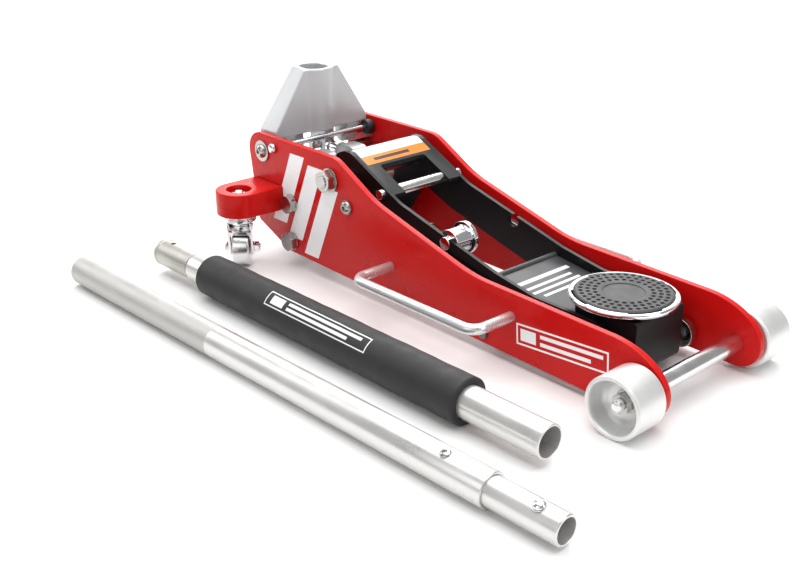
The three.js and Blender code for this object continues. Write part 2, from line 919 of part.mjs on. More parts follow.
function upperTube() {
  const body = turnedX(
    [
      [0, upperEnds[0]],
      [tubeR - 4, upperEnds[0]],
      [tubeR - 1, upperEnds[0] + 1.5],
      [tubeR, upperEnds[0] + 4.5],
      [tubeR, upperEnds[1] - 1],
      [tubeR - 1, upperEnds[1]],
      [tubeR - 2.6, upperEnds[1]],
      [tubeR - 2.6, upperEnds[0] + 4],
      [0, upperEnds[0] + 4],
    ],
    28,
  );
  return cut(body, rodZ(rivetX, 0, 3.9, 0, 30, 16).rotateX(plugRoll));
}

function upperInsert() {
  const outer = tubeR - 2.6 - gap;
  const inner = outer - 3;
  const body = turnedX(
    [
      [inner, 200],
      [outer, 200],
      [outer, 399],
      [outer - 1.5, 400.5],
      [inner, 400.5],
      [inner, 200],
    ],
    24,
  );
  const buttonHole = rodZ(buttonX, 0, 6.6, 0, 30, 16).rotateX(plugRoll);
  const rivetHole = rodZ(rivetX, 0, 2.4, 0, 30, 14).rotateX(plugRoll);
  return cut(body, buttonHole, rivetHole);
}

function snapButton() {
  const button = turnedZ(
    [
      [0, 4],
      [8, 4],
      [8, 7],
      [6.2, 7.6],
      [6.2, 16.6],
      [5.4, 18.6],
      [3.4, 19.8],
      [0, 20.3],
    ],
    20,
  );
  return button.translate(buttonX, 0, 0).rotateX(plugRoll);
}

function tubeRivet() {
  const rivet = turnedZ(
    [
      [0, 8.5],
      [2, 8.5],
      [2, 16],
      [3.5, 16.6],
      [3.5, 18.9],
      [5.8, 18.9],
      [5, 20.6],
      [2.5, 21.4],
      [0, 21.6],
    ],
    20,
  );
  return rivet.translate(rivetX, 0, 0).rotateX(plugRoll);
}

const red = 0xc4161c;
const black = 0x17181a;
const satin = 0xc9cbcc;
const chrome = 0xd9dcde;
const zinc = 0xb4b6b4;
const rubber = 0x1b1b1c;

for (const [name, side] of sides) {
  add(`side_plate_${name}`, sidePlate(side), red, 0.35, 0.2);
}
add("front_axle", frontAxle(), satin, 0.35, 0.9);
for (const [name, side] of sides) {
  add(`front_wheel_${name}`, frontWheel(side), 0xd6d7d6, 0.35, 0.8);
  add(`axle_nut_${name}`, axleNut(side), chrome, 0.25, 1);
}
add("arm_pivot_shaft", armPivotShaft(), chrome, 0.25, 1);
for (const [name, side] of sides) {
  add(`arm_pivot_nut_${name}`, armPivotNut(side), chrome, 0.3, 1);
  add(`hex_bolt_${name}_lower`, hexBolt(side, boltZ[0]), chrome, 0.3, 1);
  add(`hex_bolt_${name}_upper`, hexBolt(side, boltZ[1]), chrome, 0.3, 1);
  add(`socket_pivot_bolt_${name}`, socketPivotBolt(side), chrome, 0.25, 1);
  add(`link_pivot_screw_${name}`, linkPivotScrew(side), chrome, 0.25, 1);
  add(`bumper_${name}`, rubberBumper(side), rubber, 0.8, 0);
  add(`spacer_${name}`, spacer(side), zinc, 0.4, 0.8);
  add(`grab_handle_${name}`, grabHandle(side), satin, 0.3, 0.9);
  add(`caster_ear_${name}`, casterEar(side), red, 0.35, 0.2);
}
add("stop_bar", stopBar(), satin, 0.3, 0.9);
add("lower_tie_bolt", tieBolt(), 0x55585a, 0.4, 0.8);
add("power_unit", powerUnit(), 0xcfd1d2, 0.45, 0.6);
add("release_joint", releaseJoint(), chrome, 0.25, 1);
for (const [name, side] of sides) {
  add(`pump_plunger_${name}`, pumpPlunger(side), chrome, 0.2, 1);
}
add("ram", ram(), chrome, 0.15, 1);
add("lift_arm", liftArm(), black, 0.4, 0.3);
add("ram_pin", armRamPin(), zinc, 0.35, 0.9);
add("arm_cross_bar", crossBar(), satin, 0.25, 1);
add("arm_web_plate", webPlate(), 0x3a3b3c, 0.45, 0.3);
add("spring_anchor", springAnchor(), chrome, 0.15, 1);
add("return_spring", returnSpring(), 0x4a4d4f, 0.3, 0.9);
add("saddle_pivot_pin", saddlePivotPin(), zinc, 0.35, 0.9);
add("saddle_bracket", saddleBracket(), black, 0.45, 0.3);
add("link_pin", linkPin(), zinc, 0.35, 0.9);
add("saddle_cup", saddleCup(), chrome, 0.12, 1);
add("saddle_pad", saddlePad(), 0x2a2b2c, 0.75, 0);
for (const [name, side] of sides) {
  add(`levelling_link_${name}`, levellingLink(side), zinc, 0.35, 0.9);
}
add("handle_socket", handleSocket(), 0xb9bbbc, 0.45, 0.7);
for (const [name, side] of sides) {
  add(`caster_fork_${name}`, casterFork(side), chrome, 0.15, 1);
  add(`caster_wheel_${name}`, casterWheel(side), satin, 0.25, 0.9);
  add(`caster_axle_${name}`, casterAxle(side), chrome, 0.25, 1);
}
const low = [...lowerMid, foamR, lowerYaw];
const up = [...upperMid, tubeR, upperYaw];
add("handle_lower_tube", layDown(lowerTube(), ...low), satin, 0.25, 0.9);
add("handle_lower_insert", layDown(lowerInsert(), ...low), zinc, 0.35, 0.8);
add("handle_foam_sleeve", layDown(foamSleeve(), ...low), 0x1a1b1c, 0.85, 0);
add("handle_upper_tube", layDown(upperTube(), ...up), satin, 0.25, 0.9);
add("handle_upper_insert", layDown(upperInsert(), ...up), satin, 0.25, 0.9);
add("handle_snap_button", layDown(snapButton(), ...up), zinc, 0.3, 0.9);
add("handle_tube_rivet", layDown(tubeRivet(), ...up), zinc, 0.3, 0.9);

const box = new THREE.Box3().setFromObject(group);
const middle = box.getCenter(new THREE.Vector3());
for (const mesh of group.children) {
  mesh.geometry.translate(-middle.x, -middle.y, -box.min.z);
}

export default group;
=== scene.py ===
"""Looks of the low-profile trolley jack and its handle sections.

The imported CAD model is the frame. Turned, swept and cast pieces are worked out again here as
fine surfaces; the other CAD pieces get softened edges. Lengths are in millimetres from the
floor under the middle of the front axle, and become metres when a piece is made."""
import math

import bmesh
import bpy
import numpy as np
from mathutils import Matrix, Vector


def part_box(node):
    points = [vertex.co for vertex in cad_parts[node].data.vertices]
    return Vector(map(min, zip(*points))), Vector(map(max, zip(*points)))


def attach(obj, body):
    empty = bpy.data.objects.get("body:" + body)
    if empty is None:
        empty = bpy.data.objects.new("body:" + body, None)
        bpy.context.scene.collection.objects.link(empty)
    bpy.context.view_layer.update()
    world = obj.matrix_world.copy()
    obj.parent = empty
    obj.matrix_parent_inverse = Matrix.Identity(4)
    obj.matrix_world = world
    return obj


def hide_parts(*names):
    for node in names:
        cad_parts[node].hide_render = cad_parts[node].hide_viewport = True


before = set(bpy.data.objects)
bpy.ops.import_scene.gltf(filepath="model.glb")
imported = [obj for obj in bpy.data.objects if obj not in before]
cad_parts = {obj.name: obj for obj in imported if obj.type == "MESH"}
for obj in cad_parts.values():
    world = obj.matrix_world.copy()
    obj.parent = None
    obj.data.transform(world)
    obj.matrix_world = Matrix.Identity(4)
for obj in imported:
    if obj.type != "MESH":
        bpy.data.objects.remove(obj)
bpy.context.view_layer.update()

PI = math.pi
MM = 0.001
axle_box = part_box("front_axle")
ORIGIN = np.array([*((axle_box[0] + axle_box[1]) / 2).xy, 0.0])

# Driving dimensions, in millimetres.
PLATE_IN, PLATE_OUT = 81.5, 90.0
AXLE_Z = 34.0
WHEEL_R, WHEEL_IN, WHEEL_OUT, DISH = 34.0, 92.6, 138.6, 26.0
ARM_PIVOT = (-488.0, 141.0)
SADDLE_PIVOT = (-95.0, 57.0)
LINK_REAR, LINK_FRONT = (-455.0, 113.0), (-62.0, 29.0)
RAM_PIN = (-531.9, 46.9)
ARM_OUT, ARM_SHEET = 62.0, 5.0
SOCKET = (-631.0, 148.0)
SOCKET_LOW, SOCKET_TOP, BORE_R = 165.0, 250.0, 19.6
SADDLE_X, SADDLE_R, SADDLE_FLOOR, SADDLE_TOP, PAD_TOP = -94.5, 60.8, 82.0, 87.3, 89.0
CASTER_X, CASTER_Y, CASTER_R, CASTER_TRAIL = -618.5, 140.0, 25.0, 5.0
CASTER_YAW = math.radians(137.5)
EAR_BOTTOM, EAR_TOP, EAR_R = 76.0, 108.5, 30.6
WELL_FLOOR, WELL_R, STEM_HOLE_R, STEM_NUT = 95.0, 16.5, 8.4, 95.5
BOLT_X, BOLT_Z = -570.0, (36.5, 89.5)
GRAB_X, GRAB_Z, GRAB_REACH, GRAB_BEND, GRAB_R = (-374.0, -177.0), 58.0, 149.0, 16.0, 6.2
STOP_ROD, SPACER, TIE = (-606.0, 157.0), (-612.0, 132.0), (-217.0, 24.0)
CROSS_BAR, ANCHOR = (-419.0, 133.5), (-309.0, 99.0)
TUBE_R, FOAM_R = 18.5, 26.5
LOWER_MID, LOWER_YAW = (-341.0, -223.0), math.radians(0.55)
UPPER_MID, UPPER_YAW = (-314.0, -318.5), math.radians(1.54)
LOWER_ENDS, FOAM_ENDS, UPPER_ENDS = (-255.0, 333.5), (-221.0, 229.0), (-394.0, 318.0)
PLUG_START, CROSS_HOLE_X, UPPER_PLUG_END = -332.0, -308.5, 400.5
RIVET_X, BUTTON_X, PLUG_ROLL = 265.5, 374.0, math.radians(18)
GRIP_END = -95.0  # where the knurled grip of the upper section stops
GAP = 0.35  # clearance between neighbouring pieces
PLATE_FACE = PLATE_OUT + GAP  # where washers and heads on a side plate start
ARM_INNER = ARM_OUT - ARM_SHEET - GAP
SIDES = (("right", -1), ("left", 1))


# ---------------------------------------------------------------- outlines and surfaces
def arc(cx, cy, r, a0, a1, steps):
    """Points on a circle about (cx, cy), the angle going evenly from a0 to a1."""
    a = np.linspace(a0, a1, steps + 1)
    return np.stack([cx + r * np.cos(a), cy + r * np.sin(a)], 1)


def filleted(corners, step=0.1):
    """A polygon of (x, y, radius) corners; each arc touches both of its corner's sides."""
    parts = []
    for i, (x, y, r) in enumerate(corners):
        here = np.array([x, y])
        if not r:
            parts.append(here[None])
            continue
        a = np.array(corners[i - 1][:2]) - here
        b = np.array(corners[(i + 1) % len(corners)][:2]) - here
        a, b = a / np.linalg.norm(a), b / np.linalg.norm(b)
        half = math.acos(np.clip(a @ b, -1, 1)) / 2
        middle = (a + b) / np.linalg.norm(a + b)
        centre = here + middle * r / math.sin(half)
        start = here + a * r / math.tan(half) - centre
        turn = (PI - 2 * half) * (-1 if a[0] * b[1] - a[1] * b[0] > 0 else 1)
        a0 = math.atan2(start[1], start[0])
        parts.append(arc(*centre, r, a0, a0 + turn, max(2, math.ceil(abs(turn) / step))))
    return np.concatenate(parts)


def link_outline(first, second):
    """A bar with a round end of its own radius about each of two points (x, y, r)."""
    (x1, y1, r1), (x2, y2, r2) = first, second
    way = math.atan2(y2 - y1, x2 - x1)
    lean = math.acos((r1 - r2) / math.hypot(x2 - x1, y2 - y1))
    back = arc(x1, y1, r1, way + lean, way + 2 * PI - lean, 40)
    return np.concatenate([back, arc(x2, y2, r2, way - lean, way + lean, 32)])


def quads(rows, columns, loop=False):
    """Faces of a grid whose columns close on themselves, and its rows too if loop is true."""
    r, c = np.meshgrid(np.arange(rows if loop else rows - 1), np.arange(columns), indexing="ij")
    up, over = (r + 1) % rows, (c + 1) % columns
    grid = np.stack([r * columns + c, r * columns + over, up * columns + over, up * columns + c], 2)
    return grid.reshape(-1, 4).tolist()


def circle(steps):
    """Evenly spaced angles of one full turn."""
    return np.arange(steps) * 2 * PI / steps


def hexagon(across, a):
    """Radius at angle a of a hexagon with the given distance across its flats."""
    return across / 2 / np.cos((a + PI / 6) % (PI / 3) - PI / 6)


def ringed(rings, steps, loop=False):
    """Rings of (radius, height) round Z: point = (r cos a, r sin a, h).

    A radius or a height is one number for the whole ring, or a number for each of its angles."""
    a = circle(steps)
    points = [np.stack([r * np.cos(a), r * np.sin(a), np.full(steps, h)], 1) for r, h in rings]
    return np.concatenate(points), quads(len(rings), steps, loop)


def turned(profile, steps=96):
    """A profile of (radius, height) turned round Z; it is a closed ring if its ends meet."""
    loop = bool(np.allclose(profile[0], profile[-1]))
    return ringed(profile[:-1] if loop else profile, steps, loop)


def softened(profile, radius):
    """A closed or open turned profile whose inner corners are rounded by radius.

    A corner becomes the curve (1-t)^2 s + 2t(1-t) corner + t^2 e between the cut points s and e."""
    p = np.array(profile, float)
    loop = bool(np.allclose(p[0], p[-1]))
    if loop:
        p = p[:-1]
    parts = []
    for i, here in enumerate(p):
        if not loop and i in (0, len(p) - 1):
            parts.append(here[None])
            continue
        a, b = p[i - 1] - here, p[(i + 1) % len(p)] - here
        la, lb = np.linalg.norm(a), np.linalg.norm(b)
        cut = min(radius, la * 0.45, lb * 0.45)
        t = np.linspace(0, 1, 5)[:, None]
        s, e = here + a / la * cut, here + b / lb * cut
        parts.append((1 - t) ** 2 * s + 2 * t * (1 - t) * here + t**2 * e)
    out = np.concatenate(parts)
    return np.concatenate([out, out[:1]]) if loop else out


def turned_soft(profile, radius=0.6, steps=96):
    """turned(), with the profile's corners rounded."""
    return turned(softened(profile, radius), steps)


def rounded_edge(edge, count, face, side=1):
    """(inset, level) pairs of a rounded edge that starts at a face and goes to its side."""
    turns = np.linspace(0, PI / 2, count)
    return [(edge * (1 - math.sin(t)), face + side * edge * (1 - math.cos(t))) for t in turns]


def slab(outline, low, high, edge, rounds=3):
    """An outline in (u, v) with a thickness from low to high along w.

    Near each face the outline moves in by edge (1 - sin f) while w moves by edge (1 - cos f)."""
    o = np.array(outline, float)
    o = o[np.linalg.norm(o - np.roll(o, 1, 0), axis=1) > 1e-6]
    area = np.sum(o[:, 0] * np.roll(o[:, 1], -1) - np.roll(o[:, 0], -1) * o[:, 1])
    if area < 0:
        o = o[::-1]
    t = np.roll(o, -1, 0) - np.roll(o, 1, 0)
    normal = np.stack([t[:, 1], -t[:, 0]], 1) / np.linalg.norm(t, axis=1)[:, None]
    levels = rounded_edge(edge, rounds + 1, low) + rounded_edge(edge, rounds + 1, high, -1)[::-1]
    rings = [np.column_stack([o - normal * i, np.full(len(o), w)]) for i, w in levels]
    n = len(o)
    last = n * (len(rings) - 1)
    faces = quads(len(rings), n)
    faces += [list(range(n))[::-1], list(range(last, last + n))]
    return np.concatenate(rings), faces


def swept(path, r, sides):
    """A round bar of radius r along a path; each ring stands square to the path there."""
    p = np.array(path, float)
    t = np.gradient(p, axis=0)
    t /= np.linalg.norm(t, axis=1)[:, None]
    helper = np.array([0.0, 0, 1]) if abs(t[0, 2]) < 0.9 else np.array([1.0, 0, 0])
    across = np.cross(helper, t[0])
    a = circle(sides)
    ends = [0, r * 0.9]  # each end closes with a flat face inside a slightly smaller ring
    radius = np.concatenate([ends, np.full(len(p), float(r)), ends[::-1]])
    p = np.concatenate([p[:1], p[:1], p, p[-1:], p[-1:]])
    t = np.concatenate([t[:1], t[:1], t, t[-1:], t[-1:]])
    rings = []
    for q, d, size in zip(p, t, radius):
        across = across - d * (across @ d)
        across /= np.linalg.norm(across)
        side = np.cross(d, across)
        rings.append(q + size * (np.outer(np.cos(a), across) + np.outer(np.sin(a), side)))
    return np.concatenate(rings), quads(len(rings), sides)


def hex_block(across, low, high, chamfer=1.6):
    """A hexagon nut or bolt head: its radius is the smaller of the hexagon's and a cone's."""
    steps = 144
    flats, shoulder = hexagon(across, circle(steps)), high - chamfer
    levels = [*np.linspace(low, shoulder, 3), *np.linspace(shoulder, high, 8)]
    rings = [(np.minimum(flats, across * 0.51 + (high - h) * 1.5), h) for h in levels]
    return ringed([(0, low), *rings, (0, high)], steps)


def dome(r, rise, foot, angles):
    """Rings of a dome that is r wide at its foot: (r cos t, foot + rise sin t)."""
    return [(r * math.cos(t), foot + rise * math.sin(t)) for t in angles]


def recessed(rings, across, depth, steps):
    """A turned head whose last ring is the edge of a flat top with a hexagon recess."""
    top, flats = rings[-1][1], hexagon(across, circle(steps))
    return ringed([*rings, (flats, top), (flats, top - depth), (0, top - depth)], steps)


def threads(r, low, high, pitch=1.25, depth=0.5):
    """A threaded stud end: the radius falls by depth times a triangle wave of z / pitch - a."""
    steps = 48
    share = circle(steps) / (2 * PI)
    rings = [(0, low)]
    for z in np.linspace(low, high, int((high - low) / pitch * 6) + 1):
        wave = np.abs((z / pitch - share) % 1 * 2 - 1)
        rings.append(((r - depth * wave) * (0.8 + 0.2 * min((high - z) / pitch, 1)), z))
    return ringed([*rings, (0, high)], steps)


def join(*surfaces):
    """Several closed surfaces as one."""
    points, faces, start = [], [], 0
    for p, f in surfaces:
        points.append(p)
        faces += [[i + start for i in face] for face in f]
        start += len(p)
    return np.concatenate(points), faces


def along(axis, surface, side=1):
    """A surface drawn along Z laid along another axis; side -1 points it the other way."""
    points, faces = surface
    order = {"x": [2, 0, 1], "y": [0, 2, 1]}[axis]
    return points[:, order] * np.array([side if c == axis else 1 for c in "xyz"]), faces


def moved(surface, x=0.0, y=0.0, z=0.0):
    """A surface moved by (x, y, z)."""
    return surface[0] + np.array([x, y, z]), surface[1]


def spun(surface, angle, axis="z"):
    """A surface turned by angle about an axis through the zero point."""
    return surface[0] @ np.array(Matrix.Rotation(angle, 3, axis.upper())).T, surface[1]


def across_jack(surface, x, z, side=1):
    """A surface drawn along Z laid across the jack about the line at (x, z)."""
    return moved(along("y", surface, side), x, 0, z)


def both_ends(surface, x, z):
    """A surface drawn along Z, laid across the jack once at each side of it."""
    return join(*(across_jack(surface, x, z, side) for side in (-1, 1)))


def rod(x, z, r, y0, y1, edge=0.5):
    """A round bar across the jack, with its ends' edges rounded."""
    low, high = sorted((y0, y1))
    profile = [(0, low), (r, low), (r, high), (0, high)]
    return across_jack(turned_soft(profile, edge, 64), x, z)


# ---------------------------------------------------------------- making pieces
def shaded(obj, sharp):
    """Smooth shading that breaks where faces meet at more than sharp degrees."""
    mesh = obj.data
    mesh.polygons.foreach_set("use_smooth", np.ones(len(mesh.polygons), bool))
    mesh.set_sharp_from_angle(angle=math.radians(sharp))
    mesh.update()


def set_out(name, data):
    """An object for a mesh, light or camera, linked to the scene."""
    obj = bpy.data.objects.new(name, data)
    bpy.context.scene.collection.objects.link(obj)
    return obj


def clean_mesh(name, surface):
    """A mesh from a surface in millimetres; its doubles are merged and its faces turned out."""
    points, faces = surface
    mesh = bpy.data.meshes.new(name)
    mesh.from_pydata((points * MM + ORIGIN).tolist(), [], faces)
    bm = bmesh.new()
    bm.from_mesh(mesh)
    bmesh.ops.remove_doubles(bm, verts=bm.verts, dist=2e-6)
    bmesh.ops.dissolve_degenerate(bm, edges=bm.edges, dist=1e-7)
    bmesh.ops.recalc_face_normals(bm, faces=bm.faces)
    bm.to_mesh(mesh)
    bm.free()
    return mesh


def finished(name, mesh, material, body, nodes):
    """An object for a mesh, riding on a body and standing for CAD nodes."""
    obj = set_out(name, mesh)
    mesh.materials.append(material)
    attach(obj, body)
    if nodes:
        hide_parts(*nodes)
    return obj


def piece(name, surface, material, body, nodes, sharp=32):
    """A piece from a surface in millimetres, standing for CAD nodes."""
    obj = finished(name, clean_mesh(name, surface), material, body, nodes)
    shaded(obj, sharp)
    return obj


def dressed(node, material, body, edge, rows=2):
    """A merged copy of a CAD node with softened edges, standing for that node."""
    sharp = 28
    mesh = bpy.data.meshes.new(node + "_finished")
    bm = bmesh.new()
    bm.from_mesh(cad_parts[node].data)
    bmesh.ops.remove_doubles(bm, verts=bm.verts, dist=5e-6)
    bmesh.ops.dissolve_limit(bm, angle_limit=math.radians(0.6), verts=bm.verts, edges=bm.edges)
    bm.to_mesh(mesh)
    bm.free()
    obj = finished(node + "_finished", mesh, material, body, [node])
    shaded(obj, sharp)
    bevel = obj.modifiers.new("softened edges", "BEVEL")
    bevel.width, bevel.segments = edge * MM, rows
    bevel.limit_method, bevel.angle_limit = "ANGLE", math.radians(sharp)
    bevel.harden_normals = True


# ---------------------------------------------------------------- finishes
class Value:
    """A number that varies over a surface; arithmetic on it adds Math nodes."""

    def __init__(self, finish, socket):
        self.finish = finish
        self.socket = socket

    def math(self, operation, *inputs):
        """A Math node on the inputs, or on this value alone if there are none."""
        inputs = dict(enumerate(inputs or [self]))
        node = self.finish.node("ShaderNodeMath", {"operation": operation}, inputs)
        return Value(self.finish, node.outputs[0])

    def __add__(self, other):
        return self.math("ADD", self, other)

    def __sub__(self, other):
        return self.math("SUBTRACT", self, other)

    def __rsub__(self, other):
        return self.math("SUBTRACT", other, self)

    def __mul__(self, other):
        return self.math("MULTIPLY", self, other)

    __radd__ = __add__
    __rmul__ = __mul__

    def below(self, other):
        return self.math("LESS_THAN", self, other)

    def above(self, other):
        return self.math("GREATER_THAN", self, other)

    def most(self, other):
        return self.math("MAXIMUM", self, other)

    def within(self, reach, centre=0.0):
        """1 where the value is less than reach away from centre."""
        return (self - centre if centre else self).math("ABSOLUTE").below(reach)

    def between(self, low, high):
        """1 where the value lies between low and high."""
        return self.above(low) * self.below(high)

    def ramp(self, low, high, start, end):
        """start below low, end above high, and evenly between."""
        inputs = {"Value": self, "From Min": low, "From Max": high, "To Min": start, "To Max": end}
        node = self.finish.node("ShaderNodeMapRange", {"clamp": True}, inputs)
        return Value(self.finish, node.outputs[0])


class Finish:
    """A material with one shader; node() adds any other node."""

    def __init__(self, name, **constants):
        self.material = bpy.data.materials.new(name)
        self.material.use_nodes = True
        self.tree = self.material.node_tree
        self.tree.nodes.clear()
        out = self.tree.nodes.new("ShaderNodeOutputMaterial")
        self.shader = self.tree.nodes.new("ShaderNodeBsdfPrincipled")
        self.tree.links.new(self.shader.outputs[0], out.inputs[0])
        for key, value in constants.items():
            self.shader.inputs[key.replace("_", " ")].default_value = value
        self.place = self.node("ShaderNodeTexCoord").outputs["Object"]

    def node(self, kind, settings=None, inputs=None):
        node = self.tree.nodes.new(kind)
        for key, value in (settings or {}).items():
            setattr(node, key, value)
        for key, value in (inputs or {}).items():
            self.feed(node.inputs[key], value)
        return node

    def feed(self, socket, value):
        if isinstance(value, Value):
            value = value.socket
        if isinstance(value, bpy.types.NodeSocket):
            self.tree.links.new(value, socket)
        else:
            socket.default_value = value

    def millimetres(self):
        """x, y and z in millimetres from the floor under the front axle."""
        settings = {"operation": "MULTIPLY_ADD"}
        offset = tuple(-ORIGIN * 1000)
        inputs = {0: self.place, 1: (1000,) * 3, 2: offset}
        scaled = self.node("ShaderNodeVectorMath", settings, inputs)
        split = self.node("ShaderNodeSeparateXYZ", None, {0: scaled.outputs[0]})
        return [Value(self, s) for s in split.outputs]

    def noise(self, scale, detail=3.0, stretch=(1, 1, 1), turn=0.0, rough=0.5):
        """Noise with scale bumps to the metre, drawn out along an axis by stretch."""
        inputs = {"Vector": self.place, "Scale": stretch, "Rotation": (0, 0, turn)}
        mapped = self.node("ShaderNodeMapping", None, inputs)
        inputs = {"Vector": mapped.outputs[0], "Scale": scale, "Detail": detail, "Roughness": rough}
        node = self.node("ShaderNodeTexNoise", None, inputs)
        return Value(self, node.outputs[0])

    def mix(self, first, second, share):
        """A colour that goes from first to second as share goes from 0 to 1."""
        settings = {"data_type": "RGBA"}
        node = self.node("ShaderNodeMix", settings, {0: share, 6: first, 7: second})
        return node.outputs[2]

    def bump(self, height, distance, strength=1.0):
        """Relief of the given depth in metres."""
        inputs = {"Height": height, "Distance": distance, "Strength": strength}
        relief = self.node("ShaderNodeBump", None, inputs)
        self.feed(self.shader.inputs["Normal"], relief.outputs[0])

    def paint(self, colour):
        self.feed(self.shader.inputs["Base Color"], colour)

    def gloss(self, roughness):
        self.feed(self.shader.inputs["Roughness"], roughness)


def rgb(r, g, b):
    return (r, g, b, 1.0)


def framed_bars(u, v, half_long, half_high, line, bars):
    """A plain printed mark: an outlined box with a few solid bars inside it."""
    inner = u.within(half_long - line) * v.within(half_high - line)
    mark = u.within(half_long) * v.within(half_high) - inner
    for u0, u1, v0, v1 in bars:
        mark = mark.most(u.between(u0, u1) * v.between(v0, v1))
    return mark


def turned_by(angle, x, y):
    """Coordinates along and across a line that rises by angle."""
    c, s = math.cos(angle), math.sin(angle)
    return x * c + y * s, y * c - x * s


def red_powder_coat(printed):
    """Glossy red powder coat with a fine orange peel; printed adds plain white marks."""
    f = Finish("red_powder_coat_printed" if printed else "red_powder_coat")
    f.shader.inputs["Specular IOR Level"].default_value = 0.2
    cloud, peel = f.noise(14, 2), f.noise(520, 2)
    colour = f.mix(rgb(0.52, 0.0045, 0.004), rgb(0.60, 0.007, 0.006), cloud)
    if printed:
        x, y, z = f.millimetres()
        u, v = turned_by(math.radians(4.3), x + 105, z - 46)
        inside = [(-57, -35, -7, 7), (-29, 56, 2.2, 6.6), (-29, 40, -6.6, -2.2)]
        marks = framed_bars(u, v, 63, 12.5, 2.2, inside)
        slanted = x - (z - 95) * 0.42
        for start, low, high in ((-596, 58, 158), (-556, 42, 150), (-516, 26, 128)):
            marks = marks.most(slanted.between(start, start + 29) * z.between(low, high))
        outside = y.math("ABSOLUTE").above(PLATE_OUT - 0.05)
        colour = f.mix(colour, rgb(0.93, 0.93, 0.94), marks * outside)
    f.paint(colour)
    f.gloss(cloud.ramp(0.3, 0.7, 0.24, 0.33))
    f.bump(peel, 0.00006, 0.35)
    return f.material


def black_coat(name, low, high, grain, printed=False):
    """Black powder coat; the rear web of the arm carries a plain white and orange band."""
    f = Finish(name)
    f.shader.inputs["Specular IOR Level"].default_value = 0.22
    cloud = f.noise(20, 2)
    colour = f.mix(rgb(0.004, 0.004, 0.005), rgb(0.010, 0.010, 0.011), cloud)
    if printed:
        x, y, z = f.millimetres()
        band = y.within(54) * z.above(150)
        dark_bar = x.within(2.4, -463) * y.within(30, -8) * band
        colour = f.mix(colour, rgb(0.85, 0.86, 0.86), x.between(-490, -470) * band)
        colour = f.mix(colour, rgb(0.86, 0.22, 0.02), x.between(-470, -456) * band)
        colour = f.mix(colour, rgb(0.05, 0.03, 0.02), dark_bar)
    f.paint(colour)
    f.gloss(cloud.ramp(0.3, 0.7, low, high))
    f.bump(f.noise(grain, 2), 0.00006, 0.5)
    return f.material


def web_grey():
    """Dark grey satin sheet with plain printed bars."""
    f = Finish("web_plate_grey")
    x, y = f.millimetres()[:2]
    cloud = f.noise(25, 2)
    bars = x.within(3.2, -210) * y.within(46)
    for centre, reach in ((-197, 40), (-187, 44), (-177, 30)):
        bars = bars.most(x.within(2.2, centre) * y.within(reach, -4))
    colour = f.mix(rgb(0.030, 0.031, 0.033), rgb(0.055, 0.056, 0.058), cloud)
    f.paint(f.mix(colour, rgb(0.62, 0.63, 0.63), bars))
    f.gloss(cloud.ramp(0.3, 0.7, 0.34, 0.48))
    f.bump(f.noise(700, 2), 0.00004, 0.5)
    return f.material


def clouded(name, dark, pale, cloud, rough, grain, depth, strength=0.5, metallic=1.0, start=0.3):
    """A finish whose tone and roughness change in soft clouds, over a fine grain in relief.

    cloud and grain are the scale and detail of their noise, and depth is in metres."""
    f = Finish(name, Metallic=metallic)
    patches = f.noise(*cloud)
    f.paint(f.mix(rgb(*dark), rgb(*pale), patches))
    f.gloss(patches.ramp(start, 0.7, *rough))
    f.bump(f.noise(*grain), depth, strength)
    return f.material


def cast_silver():
    """Silver-grey paint over a sand casting."""
    f = Finish("cast_silver_paint", Metallic=0.25)
    cloud, skin = f.noise(16, 3), f.noise(260, 4)
    f.paint(f.mix(rgb(0.46, 0.47, 0.48), rgb(0.56, 0.57, 0.58), cloud))
    f.gloss(skin.ramp(0.3, 0.7, 0.32, 0.46))
    f.bump(skin, 0.00022, 0.5)
    return f.material


def wheel_aluminium():
    """Satin aluminium with fine turning rings about the front axle."""
    f = Finish("turned_aluminium_wheel", Metallic=0.7)
    x, y, z = f.millimetres()
    up = z - AXLE_Z
    place = f.node("ShaderNodeCombineXYZ", None, {0: (x * x + up * up).math("SQRT"), 1: y * 0.35})
    inputs = {"Vector": place.outputs[0], "Scale": 2.6, "Detail": 3.0}
    rings = Value(f, f.node("ShaderNodeTexNoise", None, inputs).outputs[0])
    cloud = f.noise(35, 3)
    f.paint(f.mix(rgb(0.744, 0.744, 0.736), rgb(0.80, 0.80, 0.792), cloud))
    f.gloss(rings.ramp(0.3, 0.7, 0.30, 0.44) + cloud * 0.05)
    f.bump(rings, 0.00003, 0.35)
    return f.material


def drawn_aluminium(name, turn, tone=(0.74, 0.73, 0.715), rough=(0.26, 0.38)):
    """Satin tube with draw lines along its length and faint handling marks."""
    f = Finish(name, Metallic=0.75)
    lines, cloud = f.noise(420, 3, (0.02, 1, 1), -turn), f.noise(22, 3)
    f.paint(f.mix(rgb(*(c * 0.92 for c in tone)), rgb(*tone), cloud))
    f.gloss((lines * 0.35 + cloud * 0.65).ramp(0.35, 0.65, *rough))
    f.bump(lines, 0.00002, 0.15)
    return f.material


def zinc_plate():
    """Zinc-plated fasteners: warm and cool patches, with small handling scratches."""
    f = Finish("zinc_plate", Metallic=1.0)
    cloud, fine = f.noise(60, 3), f.noise(420, 4)
    f.paint(f.mix(rgb(0.38, 0.37, 0.33), rgb(0.52, 0.525, 0.53), cloud))
    f.gloss(fine.ramp(0.3, 0.7, 0.16, 0.26))
    f.bump(cloud, 0.00004, 0.12)
    return f.material


def pad_rubber(name, light):
    """Dark moulded rubber with a dusty bloom."""
    dark, pale = 0.024 * light, 0.046 * light
    return clouded(name, (dark, dark, dark), (pale, pale, pale * 1.04), (50, 4), (0.42, 0.56),
                   grain=(900, 2), depth=0.00008, metallic=0.0)


